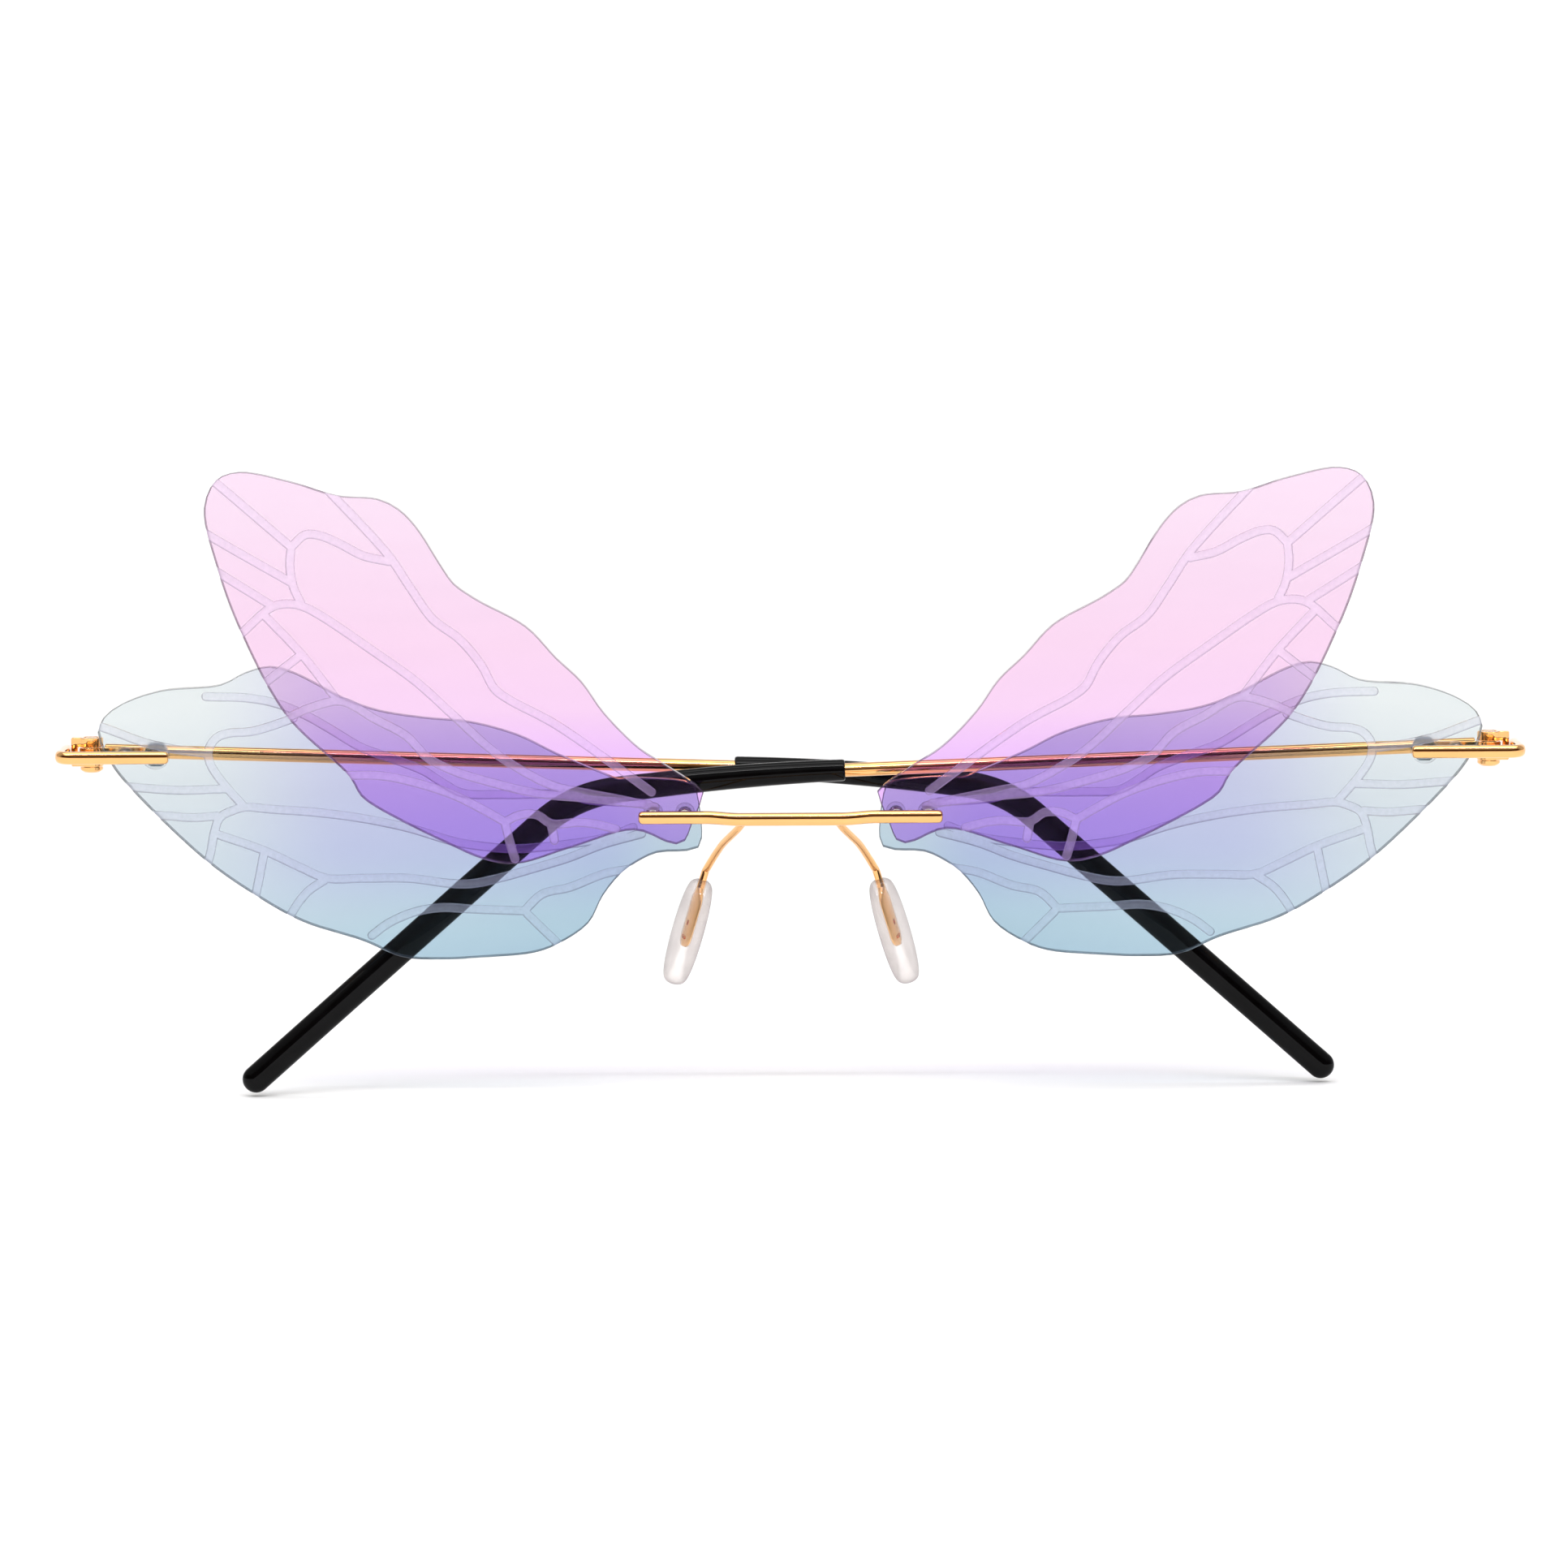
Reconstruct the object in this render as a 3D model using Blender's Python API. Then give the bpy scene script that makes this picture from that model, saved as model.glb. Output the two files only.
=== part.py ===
"""Rimless sunglasses whose four flat lenses are cut as insect wings, with the temples folded.

+X is the wearer's left, the glasses face -Y and +Z is up. The origin is the middle of the
bridge bar's underside. Lengths are metres; multiplying by mm turns millimetres into metres.
A place on one side is written (out, back, up): out runs outward from the middle plane, and
side is +1 on the wearer's left and -1 on the right. Wing outlines are in hundredths of the
wing's length, from its inner end, and of its height, from the line of the bridge posts.
"""

from math import cos, pi, radians, sin

import bmesh
import bpy
import numpy as np
from mathutils import Matrix, Vector, geometry

mm = 0.001

# Wings
BRIDGE_WIDTH = 17.4 * mm
FOREWING_LENGTH = 49.5 * mm
FOREWING_HEIGHT = 39.4 * mm
HINDWING_LENGTH = 60.4 * mm
HINDWING_HEIGHT = 29.6 * mm
HINDWING_SETBACK = 0.2 * mm
LENS_THICKNESS = 1.2 * mm
LENS_GAP = 0.1 * mm
OUTLINE_STEP = 0.9 * mm

# Bridge bar, its posts and the clear bushes on them
BAR_HEIGHT = 1.3 * mm
BAR_DEPTH = 1.2 * mm
BAR_CHAMFER = 0.28 * mm
BAR_BOW = 0.5 * mm
BAR_STEP = 0.15 * mm
BAR_OVERHANG = 1.4 * mm
BAR_STANDOFF = 0.3 * mm
POST_INSET = 1.9 * mm
POST_SPACING = 3.2 * mm
POST_RADIUS = 0.4 * mm
POST_TAIL = 0.4 * mm
BUSH_WALL = 0.15 * mm
BUSH_FLANGE_RADIUS = 1.0 * mm
BUSH_FLANGE_THICKNESS = 1.1 * mm

# End pieces, with their studs, nuts and pins
ENDPIECE_RISE = 6.1 * mm
ENDPIECE_HEIGHT = 1.3 * mm
ENDPIECE_THICKNESS = 1.15 * mm
ENDPIECE_STANDOFF = 0.15 * mm
ENDPIECE_BEND_RADIUS = 1.3 * mm
ENDPIECE_OVERHANG = 1.5 * mm
STUD_INSET = 5.6 * mm
STUD_RADIUS = 0.55 * mm
PIN_SPACING = 3.1 * mm
PIN_RADIUS = 0.4 * mm
WASHER_RADIUS = 1.45 * mm
WASHER_THICKNESS = 0.35 * mm
NUT_ACROSS_CORNERS = 2.7 * mm
NUT_THICKNESS = 1.2 * mm

# Temple hinges
HINGE_OUTSET = 1.2 * mm
HINGE_BACKSET = 3.7 * mm
KNUCKLE_RADIUS = 1.2 * mm
KNUCKLE_BORE_RADIUS = 0.72 * mm
HINGE_SCREW_RADIUS = 0.68 * mm
HINGE_HALF_HEIGHT = 1.45 * mm
MIDDLE_KNUCKLE_HALF_HEIGHT = 0.42 * mm
KNUCKLE_GAP = 0.08 * mm
WEB_CLEARANCE = 0.12 * mm
WEB_THICKNESS = 0.66 * mm
WEB_HALF_DEPTH = 0.55 * mm
HINGE_SCREW_HEAD_RADIUS = 1.15 * mm
HINGE_SCREW_HEAD_HEIGHT = 0.55 * mm
TEMPLE_TAB_LENGTH = 5.5 * mm
TEMPLE_TAB_THICKNESS = 0.8 * mm

# Temples: a wire that drops gently, then turns down behind the ear in a black sleeve
TEMPLE_WIRE_RADIUS = 0.7 * mm
TEMPLE_WIRE_OFFSET = 1.2 * mm
TEMPLE_WIRE_GAP = 0.05 * mm
TEMPLE_LENGTH = 137.3 * mm
EAR_BEND_AT = 92.5 * mm
EAR_BEND_LENGTH = 8.0 * mm
EAR_BEND_LEAD = 6.0 * mm
WIRE_DROP = radians(2.1)
SLEEVE_DROP = radians(7.5)
EAR_DROP = radians(41.6)
SLEEVE_START = 65.0 * mm
SLEEVE_START_HALF_HEIGHT = 1.1 * mm
SLEEVE_HALF_HEIGHT = 1.4 * mm
SLEEVE_HALF_THICKNESS = 1.05 * mm
SLEEVE_BORE_RADIUS = 0.8 * mm
SLEEVE_END_WALL = 5.0 * mm
WIRE_END_GAP = 0.2 * mm
REST_SPREAD = radians(2.6)

# Nose pads: clear silicone pushed over the flattened end of each pad arm
PAD_OUT = 10.5 * mm
PAD_BACK = 10.0 * mm
PAD_DOWN = 12.1 * mm
PAD_LEAN = radians(16.5)
PAD_SPLAY = radians(15.0)
PAD_LENGTH = 11.2 * mm
PAD_WIDTH = 5.8 * mm
PAD_THICKNESS = 2.2 * mm
ARM_RADIUS = 0.4 * mm
ARM_ROOT_OUT = 4.6 * mm
ARM_ENTRY = 0.9 * mm
BLADE_TOP = 0.9 * mm
BLADE_LENGTH = 6.2 * mm
BLADE_WIDTH = 3.6 * mm
BLADE_THICKNESS = 0.55 * mm
BLADE_HOLE_RADIUS = 0.3 * mm
BLADE_SLOT_LENGTH = 1.5 * mm
BLADE_SLOT_HEIGHT = 0.4 * mm
POCKET_FIT = 0.1 * mm

# Fits
BRAZE_GAP = 0.06 * mm
BORE_FIT = 0.05 * mm
ROUND_SEGMENTS = 24
FINE_SEGMENTS = 12
INSIDE_OUTLINE = 1
SAME_POINT = 1e-5

# Wing outlines, outward and upward from the inner end, in hundredths of length and height
FOREWING_OUTLINE = [
    (100, 79), (97.5, 86), (93, 88), (82.5, 85.5), (73.5, 82), (65, 81), (61, 78.5),
    (57.5, 74), (52, 63), (50, 59.5), (45.5, 55.5), (35.5, 48.5), (29.5, 40.5), (24.5, 34.5),
    (20, 26.5), (13, 17.5), (7.5, 13), (1.5, 8), (0, 6), (0.7, 3), (2.5, -2.5), (3.8, -6.3),
    (5.6, -7.2), (7.5, -6.6), (14, -3.5), (27, -8), (38, -12), (44.5, -10.8), (51.5, -7),
    (66, 2.5), (69.2, 5.5), (71.5, 10.5), (84, 26), (93, 47.5), (97.5, 63.5),
]
HINDWING_OUTLINE = [
    (100, 29), (99, 34), (96, 38.5), (89.5, 43), (79.5, 45), (75.5, 49), (71.5, 51),
    (67.5, 49), (59, 40), (53.5, 36), (46, 33.5), (38.5, 32), (30.5, 27.5), (24, 21),
    (16, 14), (13.8, 12.3), (11.5, 12.7), (3, 11.5), (1.3, 10.3), (0.7, 7), (0, -8),
    (0.6, -11.3), (2.5, -12.4), (7.5, -13), (11, -16.3), (13.5, -20), (16.5, -27.5),
    (19, -37), (24, -44), (28, -47), (36, -48.5), (43.5, -49.2), (50, -48.3), (56.5, -42.7),
    (66.5, -36), (74.5, -26.7), (83, -14), (95.5, 11.5), (98, 18.5), (99.6, 25),
]

# Places worked out from the sizes above
POST_UP = BAR_HEIGHT / 2 + BAR_STEP
FOREWING_INNER = BRIDGE_WIDTH / 2
HINDWING_INNER = FOREWING_INNER + HINDWING_SETBACK
HINDWING_OUTER = HINDWING_INNER + HINDWING_LENGTH
INNER_POST = FOREWING_INNER + POST_INSET
OUTER_POST = INNER_POST + POST_SPACING
BAR_BACK = BAR_BOW + BAR_DEPTH / 2
FOREWING_FRONT = BAR_BACK + BAR_STANDOFF
FOREWING_BACK = FOREWING_FRONT + LENS_THICKNESS
HINDWING_FRONT = FOREWING_BACK + LENS_GAP
HINDWING_BACK = HINDWING_FRONT + LENS_THICKNESS
BUSH_RADIUS = POST_RADIUS + BORE_FIT + BUSH_WALL
FLANGE_FRONT = HINDWING_BACK + BRAZE_GAP
FLANGE_BACK = FLANGE_FRONT + BUSH_FLANGE_THICKNESS
PIN_BUSH_RADIUS = PIN_RADIUS + BORE_FIT + BUSH_WALL
PIN_FLANGE_THICKNESS = BUSH_FLANGE_THICKNESS / 2
ENDPIECE_UP = POST_UP + ENDPIECE_RISE
ENDPIECE_BAR_BACK = HINDWING_FRONT - ENDPIECE_STANDOFF
ENDPIECE_BAR_MIDDLE = ENDPIECE_BAR_BACK - ENDPIECE_THICKNESS / 2
STUD_OUT = HINDWING_OUTER - STUD_INSET
PIN_OUT = STUD_OUT + PIN_SPACING
ENDPIECE_INNER = STUD_OUT - ENDPIECE_OVERHANG
HINGE_OUT = HINDWING_OUTER + HINGE_OUTSET
HINGE_BACK = HINDWING_BACK + HINGE_BACKSET
WEB_INNER = KNUCKLE_RADIUS + WEB_CLEARANCE
WEB_OUTER = WEB_INNER + WEB_THICKNESS
ENDPIECE_LEG = HINGE_OUT + WEB_OUTER + BRAZE_GAP + ENDPIECE_THICKNESS / 2
ENDPIECE_END = HINGE_BACK + WEB_HALF_DEPTH + 0.25 * mm
WASHER_FRONT = HINDWING_BACK + BRAZE_GAP
WASHER_BACK = WASHER_FRONT + WASHER_THICKNESS
NUT_FRONT = WASHER_BACK + BRAZE_GAP
NUT_BACK = NUT_FRONT + NUT_THICKNESS
TEMPLE_WIRE_START = KNUCKLE_RADIUS + TEMPLE_WIRE_GAP
TAB_OUTER = TEMPLE_WIRE_OFFSET - TEMPLE_WIRE_RADIUS - BRAZE_GAP


def clear_scene():
    for obj in list(bpy.data.objects):
        bpy.data.objects.remove(obj)


def material(name, colour, roughness, metallic=0.0, alpha=1.0):
    mat = bpy.data.materials.new(name)
    mat.use_nodes = True
    shader = mat.node_tree.nodes["Principled BSDF"]
    shader.inputs["Base Color"].default_value = (*colour, 1.0)
    shader.inputs["Roughness"].default_value = roughness
    shader.inputs["Metallic"].default_value = metallic
    shader.inputs["Alpha"].default_value = alpha
    mat.diffuse_color = (*colour, alpha)
    return mat


def add_object(name, bm, mat, parent=None):
    """Turns bm into a named object with outward faces, and puts it under parent."""
    bmesh.ops.remove_doubles(bm, verts=bm.verts, dist=1e-7)
    bmesh.ops.recalc_face_normals(bm, faces=bm.faces)
    mesh = bpy.data.meshes.new(name)
    bm.to_mesh(mesh)
    bm.free()
    mesh.shade_smooth()
    mesh.set_sharp_from_angle(angle=radians(35))
    obj = bpy.data.objects.new(name, mesh)
    bpy.context.scene.collection.objects.link(obj)
    if mat:
        obj.data.materials.append(mat)
    obj.parent = parent
    return obj


def add_pivot(name, place, turn):
    """An empty on a joint's axis, turned to rest, which the moving pieces are parented to."""
    pivot = bpy.data.objects.new(name, None)
    bpy.context.scene.collection.objects.link(pivot)
    pivot.matrix_world = Matrix.Translation(place) @ turn
    return pivot


def boolean(target, helper, operation):
    """Joins helper to target, or cuts it away, and hides the helper."""
    helper.hide_render = True
    helper.display_type = "WIRE"
    modifier = target.modifiers.new(helper.name, "BOOLEAN")
    modifier.operation = operation
    modifier.object = helper


def loft(bm, rings):
    """Joins rings of equally many points into one closed skin with flat ends."""
    rows = [[bm.verts.new(point) for point in ring] for ring in rings]
    count = len(rows[0])
    for low, high in zip(rows, rows[1:]):
        for i in range(count):
            j = (i + 1) % count
            bm.faces.new((low[i], low[j], high[j], high[i]))
    bm.faces.new(reversed(rows[0]))
    bm.faces.new(rows[-1])


def plate(bm, outline, holes, place, low, high):
    """A flat plate of any outline with holes; place(u, v, h) gives the point in space."""
    loops = [outline, *holes]
    points = [point for loop in loops for point in loop]
    edges = []
    loop_of = []
    for number, loop in enumerate(loops):
        start = len(edges)
        edges += [(start + i, start + (i + 1) % len(loop)) for i in range(len(loop))]
        loop_of += [number] * len(loop)
    flat = [Vector(point) / mm for point in points]
    made = geometry.delaunay_2d_cdt(flat, edges, [], INSIDE_OUTLINE, SAME_POINT)
    triangles = [[made[3][i][0] for i in face] for face in made[2]]
    filled_holes = [{number} for number in range(1, len(loops))]
    triangles = [face for face in triangles if {loop_of[i] for i in face} not in filled_holes]
    front = [bm.verts.new(place(u, v, low)) for u, v in points]
    back = [bm.verts.new(place(u, v, high)) for u, v in points]
    for a, b, c in triangles:
        bm.faces.new((front[a], front[b], front[c]))
        bm.faces.new((back[c], back[b], back[a]))
    for a, b in edges:
        bm.faces.new((front[a], back[a], back[b], front[b]))


def turned(bm, profile, matrix, segments, closed=False):
    """Turns (radius, height) points about the matrix's Z axis; closed makes a ring."""
    rows = []
    for radius, height in profile:
        if radius == 0:
            rows.append([bm.verts.new(matrix @ Vector((0, 0, height)))] * segments)
            continue
        turn = [2 * pi * i / segments for i in range(segments)]
        ring = [(radius * cos(a), radius * sin(a), height) for a in turn]
        rows.append([bm.verts.new(matrix @ Vector(point)) for point in ring])
    pairs = list(zip(rows, rows[1:])) + ([(rows[-1], rows[0])] if closed else [])
    for low, high in pairs:
        for i in range(segments):
            j = (i + 1) % segments
            corners = dict.fromkeys((low[i], low[j], high[j], high[i]))
            bm.faces.new(list(corners))


def circle(centre, radius, segments):
    """Points of a circle on a plate."""
    turn = [2 * pi * i / segments for i in range(segments)]
    return [(centre[0] + radius * cos(a), centre[1] + radius * sin(a)) for a in turn]


def ring_section(half_a, half_b, segments):
    """Points of an ellipse, for a round wire or an oval sleeve."""
    turn = [2 * pi * i / segments for i in range(segments)]
    return [(half_a * cos(a), half_b * sin(a)) for a in turn]


def chamfered_section(width, height, chamfer):
    """Points of a rectangle with cut corners."""
    w, h = width / 2, height / 2
    return [
        (w, h - chamfer), (w - chamfer, h), (chamfer - w, h), (-w, h - chamfer),
        (-w, chamfer - h), (chamfer - w, -h), (w - chamfer, -h), (w, chamfer - h),
    ]


def swept_rings(path, sections, across):
    """Rings square to the path: a section's first axis is nearest to across."""
    points = [Vector(point) for point in path]
    rings = []
    for i, point in enumerate(points):
        ahead = points[min(i + 1, len(points) - 1)]
        behind = points[max(i - 1, 0)]
        along = (ahead - behind).normalized()
        first = (across - along * across.dot(along)).normalized()
        second = along.cross(first)
        rings.append([point + first * a + second * b for a, b in sections[i]])
    return rings


def spline(points, step, closed):
    """Points about step apart on a centripetal Catmull-Rom curve through the given ones."""
    knots = [Vector(point) for point in points]
    count = len(knots)
    spans = count if closed else count - 1
    made = []
    for i in range(spans):
        if closed:
            p0, p1, p2, p3 = (knots[(i + k) % count] for k in (-1, 0, 1, 2))
        else:
            p1, p2 = knots[i], knots[i + 1]
            p0 = knots[i - 1] if i else p1 * 2 - p2
            p3 = knots[i + 2] if i + 2 < count else p2 * 2 - p1
        d1, d2, d3 = ((b - a).length ** 0.5 for a, b in ((p0, p1), (p1, p2), (p2, p3)))
        m1 = (p1 - p0) * (d2 / d1) - (p2 - p0) * (d2 / (d1 + d2)) + (p2 - p1)
        m2 = (p2 - p1) - (p3 - p1) * (d2 / (d2 + d3)) + (p3 - p2) * (d2 / d3)
        pieces = max(1, round((p2 - p1).length / step))
        for k in range(pieces):
            t = k / pieces
            made.append(
                p1 * (2 * t**3 - 3 * t**2 + 1)
                + m1 * (t**3 - 2 * t**2 + t)
                + p2 * (3 * t**2 - 2 * t**3)
                + m2 * (t**3 - t**2)
            )
    return made if closed else made + [knots[-1]]


def backward(place):
    """Matrix that stands a turned shape on place with its axis pointing back, +Y."""
    return Matrix.Translation(place) @ Matrix.Rotation(-pi / 2, 4, "X")


def make_wing(name, side, outline, inner, length, height, front, holes, mat):
    """One flat lens, cut to its outline and drilled, standing across the glasses."""
    corners = [(inner + u / 100 * length, POST_UP + v / 100 * height, 0) for u, v in outline]
    edge = [(point.x, point.y) for point in spline(corners, OUTLINE_STEP, closed=True)]
    drilled = [circle(centre, radius, ROUND_SEGMENTS) for centre, radius in holes]
    bm = bmesh.new()

    def place(out, up, back):
        return Vector((side * out, back, up))

    plate(bm, edge, drilled, place, front, front + LENS_THICKNESS)
    add_object(name, bm, mat)


def make_wings(name, side, upper_mat, lower_mat):
    """The forewing and, behind it, the hindwing of one side."""
    post_hole = BUSH_RADIUS + BORE_FIT
    posts = [((INNER_POST, POST_UP), post_hole), ((OUTER_POST, POST_UP), post_hole)]
    ends = [
        ((STUD_OUT, ENDPIECE_UP), STUD_RADIUS + 2 * BORE_FIT),
        ((PIN_OUT, ENDPIECE_UP), PIN_BUSH_RADIUS + BORE_FIT),
    ]
    make_wing(
        "forewing_" + name, side, FOREWING_OUTLINE, FOREWING_INNER, FOREWING_LENGTH,
        FOREWING_HEIGHT, FOREWING_FRONT, posts, upper_mat,
    )
    make_wing(
        "hindwing_" + name, side, HINDWING_OUTLINE, HINDWING_INNER, HINDWING_LENGTH,
        HINDWING_HEIGHT, HINDWING_FRONT, posts + ends, lower_mat,
    )


def make_bridge(mat):
    """The bar across the front, bowed forward between the lenses, with its four posts."""
    bar_end = OUTER_POST + BAR_OVERHANG
    flat_half = ARM_ROOT_OUT + ARM_RADIUS + BRAZE_GAP
    bend_end = FOREWING_INNER - 0.2 * mm
    stations = [flat_half + (bend_end - flat_half) * i / 8 for i in range(9)] + [bar_end]
    stations = [-out for out in reversed(stations)] + [0.0] + stations
    path = []
    for out in stations:
        share = min(1.0, max(0.0, (abs(out) - flat_half) / (bend_end - flat_half)))
        ease = share * share * (3 - 2 * share)
        path.append((out, BAR_BOW * ease, BAR_HEIGHT / 2 + BAR_STEP * ease))
    section = chamfered_section(BAR_DEPTH, BAR_HEIGHT, BAR_CHAMFER)
    bm = bmesh.new()
    loft(bm, swept_rings(path, [section] * len(path), Vector((0, 1, 0))))
    bar = add_object("bridge_bar", bm, mat)
    for side in (1, -1):
        for label, out in (("inner", INNER_POST), ("outer", OUTER_POST)):
            bm = bmesh.new()
            end = FLANGE_BACK + POST_TAIL
            profile = [
                (0, BAR_BOW), (POST_RADIUS, BAR_BOW), (POST_RADIUS, end - POST_TAIL / 2),
                (POST_RADIUS / 2, end), (0, end),
            ]
            turned(bm, profile, backward((side * out, 0, POST_UP)), ROUND_SEGMENTS)
            post = add_object(f"guide_post_{label}_{side}", bm, None)
            boolean(bar, post, "UNION")


def make_bush(name, place, bore, sleeve, flange, front, flange_front, back, mat):
    """A clear plastic sleeve through the lenses, with a flange behind them."""
    edge = 0.2 * mm
    profile = [
        (bore, front), (sleeve, front), (sleeve, flange_front), (flange, flange_front),
        (flange, back - edge), (flange - edge, back), (bore, back),
    ]
    bm = bmesh.new()
    turned(bm, profile, backward(place), ROUND_SEGMENTS, closed=True)
    add_object(name, bm, mat)


def make_bushes(name, side, mat):
    """The bushes on the bridge posts and on the end piece's pin."""
    for label, out in (("inner", INNER_POST), ("outer", OUTER_POST)):
        make_bush(
            f"bridge_bush_{label}_{name}", (side * out, 0, POST_UP), POST_RADIUS + BORE_FIT,
            BUSH_RADIUS, BUSH_FLANGE_RADIUS, FOREWING_FRONT, FLANGE_FRONT, FLANGE_BACK, mat,
        )
    make_bush(
        f"pin_bush_{name}", (side * PIN_OUT, 0, ENDPIECE_UP), PIN_RADIUS + BORE_FIT,
        PIN_BUSH_RADIUS, PIN_BUSH_RADIUS * 1.4, HINDWING_FRONT, FLANGE_FRONT,
        FLANGE_FRONT + PIN_FLANGE_THICKNESS, mat,
    )


def make_endpiece(name, side, mat):
    """The gold end piece: along the lens front, round its tip and back to the hinge."""
    corner = (ENDPIECE_LEG - ENDPIECE_BEND_RADIUS, ENDPIECE_BAR_MIDDLE + ENDPIECE_BEND_RADIUS)
    path = [(ENDPIECE_INNER, ENDPIECE_BAR_MIDDLE)]
    for i in range(9):
        turn = pi / 2 * i / 8
        path.append((
            corner[0] + ENDPIECE_BEND_RADIUS * sin(turn),
            corner[1] - ENDPIECE_BEND_RADIUS * cos(turn),
        ))
    path.append((ENDPIECE_LEG, ENDPIECE_END))
    places = [(side * out, back, ENDPIECE_UP) for out, back in path]
    section = chamfered_section(ENDPIECE_HEIGHT, ENDPIECE_THICKNESS, BAR_CHAMFER)
    bm = bmesh.new()
    loft(bm, swept_rings(places, [section] * len(places), Vector((0, 0, 1))))
    endpiece = add_object("endpiece_" + name, bm, mat)
    shafts = (
        ("stud", STUD_OUT, STUD_RADIUS, NUT_BACK + 0.15 * mm),
        ("pin", PIN_OUT, PIN_RADIUS, FLANGE_FRONT + PIN_FLANGE_THICKNESS + 0.15 * mm),
    )
    for label, out, radius, end in shafts:
        bm = bmesh.new()
        profile = [
            (0, ENDPIECE_BAR_MIDDLE), (radius, ENDPIECE_BAR_MIDDLE),
            (radius, end - radius / 3), (radius * 0.6, end), (0, end),
        ]
        turned(bm, profile, backward((side * out, 0, ENDPIECE_UP)), FINE_SEGMENTS * 2)
        boolean(endpiece, add_object(f"guide_{label}_{name}", bm, None), "UNION")


def make_nut(name, side, nut_mat, washer_mat):
    """The nut and washer that clamp the lens on the end piece's stud."""

    def place(out, up, back):
        return Vector((side * out, back, up))

    centre = (STUD_OUT, ENDPIECE_UP)
    bore = circle(centre, STUD_RADIUS + BORE_FIT, ROUND_SEGMENTS)
    bm = bmesh.new()
    plate(bm, circle(centre, NUT_ACROSS_CORNERS / 2, 6), [bore], place, NUT_FRONT, NUT_BACK)
    add_object("lens_nut_" + name, bm, nut_mat)
    bm = bmesh.new()
    rim = circle(centre, WASHER_RADIUS, ROUND_SEGMENTS)
    plate(bm, rim, [bore], place, WASHER_FRONT, WASHER_BACK)
    add_object("lens_washer_" + name, bm, washer_mat)


def knuckle_outline(reach, low, high):
    """A round knuckle with a flat tab that runs to reach, between low and high."""
    points = []
    start = np.arcsin(high / KNUCKLE_RADIUS)
    stop = 2 * pi + np.arcsin(low / KNUCKLE_RADIUS)
    for i in range(ROUND_SEGMENTS + 1):
        turn = start + (stop - start) * i / ROUND_SEGMENTS
        points.append((KNUCKLE_RADIUS * cos(turn), KNUCKLE_RADIUS * sin(turn)))
    return points + [(reach, low), (reach, high)]


def make_front_hinge(name, side, mat):
    """Two knuckles on a web that is brazed to the end piece."""
    bore = circle((0, 0), KNUCKLE_BORE_RADIUS, ROUND_SEGMENTS)
    inner = MIDDLE_KNUCKLE_HALF_HEIGHT + KNUCKLE_GAP

    def place(out, back, up):
        return Vector((side * (HINGE_OUT + out), HINGE_BACK + back, ENDPIECE_UP + up))

    outline = knuckle_outline(WEB_OUTER, -WEB_HALF_DEPTH, WEB_HALF_DEPTH)
    bm = bmesh.new()
    plate(bm, outline, [bore], place, inner, HINGE_HALF_HEIGHT)
    hinge = add_object("hinge_front_" + name, bm, mat)
    bm = bmesh.new()
    plate(bm, outline, [bore], place, -HINGE_HALF_HEIGHT, -inner)
    boolean(hinge, add_object(f"guide_knuckle_{name}", bm, None), "UNION")
    web = [
        (WEB_INNER, -WEB_HALF_DEPTH), (WEB_OUTER, -WEB_HALF_DEPTH),
        (WEB_OUTER, WEB_HALF_DEPTH), (WEB_INNER, WEB_HALF_DEPTH),
    ]
    bm = bmesh.new()
    plate(bm, web, [], place, -HINGE_HALF_HEIGHT, HINGE_HALF_HEIGHT)
    boolean(hinge, add_object(f"guide_web_{name}", bm, None), "UNION")


def make_hinge_screw(name, side, mat):
    """The hinge's screw, put in from below, with a slotted head."""
    top = HINGE_HALF_HEIGHT
    under = -HINGE_HALF_HEIGHT - BRAZE_GAP
    bottom = under - HINGE_SCREW_HEAD_HEIGHT
    profile = [
        (0, top), (HINGE_SCREW_RADIUS * 0.8, top), (HINGE_SCREW_RADIUS, top - 0.15 * mm),
        (HINGE_SCREW_RADIUS, under), (HINGE_SCREW_HEAD_RADIUS, under),
        (HINGE_SCREW_HEAD_RADIUS, under - HINGE_SCREW_HEAD_HEIGHT / 2),
        (HINGE_SCREW_HEAD_RADIUS * 0.7, bottom), (0, bottom),
    ]
    axis = Matrix.Translation((side * HINGE_OUT, HINGE_BACK, ENDPIECE_UP))
    bm = bmesh.new()
    turned(bm, profile, axis, ROUND_SEGMENTS)
    screw = add_object("hinge_screw_" + name, bm, mat)
    bm = bmesh.new()
    half_width = 0.15 * mm
    reach = HINGE_SCREW_HEAD_RADIUS * 2
    slot = [(-reach, -half_width), (reach, -half_width), (reach, half_width), (-reach, half_width)]

    def place(out, back, up):
        return axis @ Vector((out, back, up))

    plate(bm, slot, [], place, bottom - 0.1 * mm, bottom + 0.25 * mm)
    boolean(screw, add_object(f"guide_slot_{name}", bm, None), "DIFFERENCE")


def temple_drop(along):
    """The temple's downward slope at a distance along it from the hinge."""
    bend_end = EAR_BEND_AT + EAR_BEND_LENGTH / 2
    bend_start = EAR_BEND_AT - EAR_BEND_LENGTH / 2
    marks = [0, SLEEVE_START, bend_start, bend_end, TEMPLE_LENGTH]
    return np.interp(along, marks, [WIRE_DROP, WIRE_DROP, SLEEVE_DROP, EAR_DROP, EAR_DROP])


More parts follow.
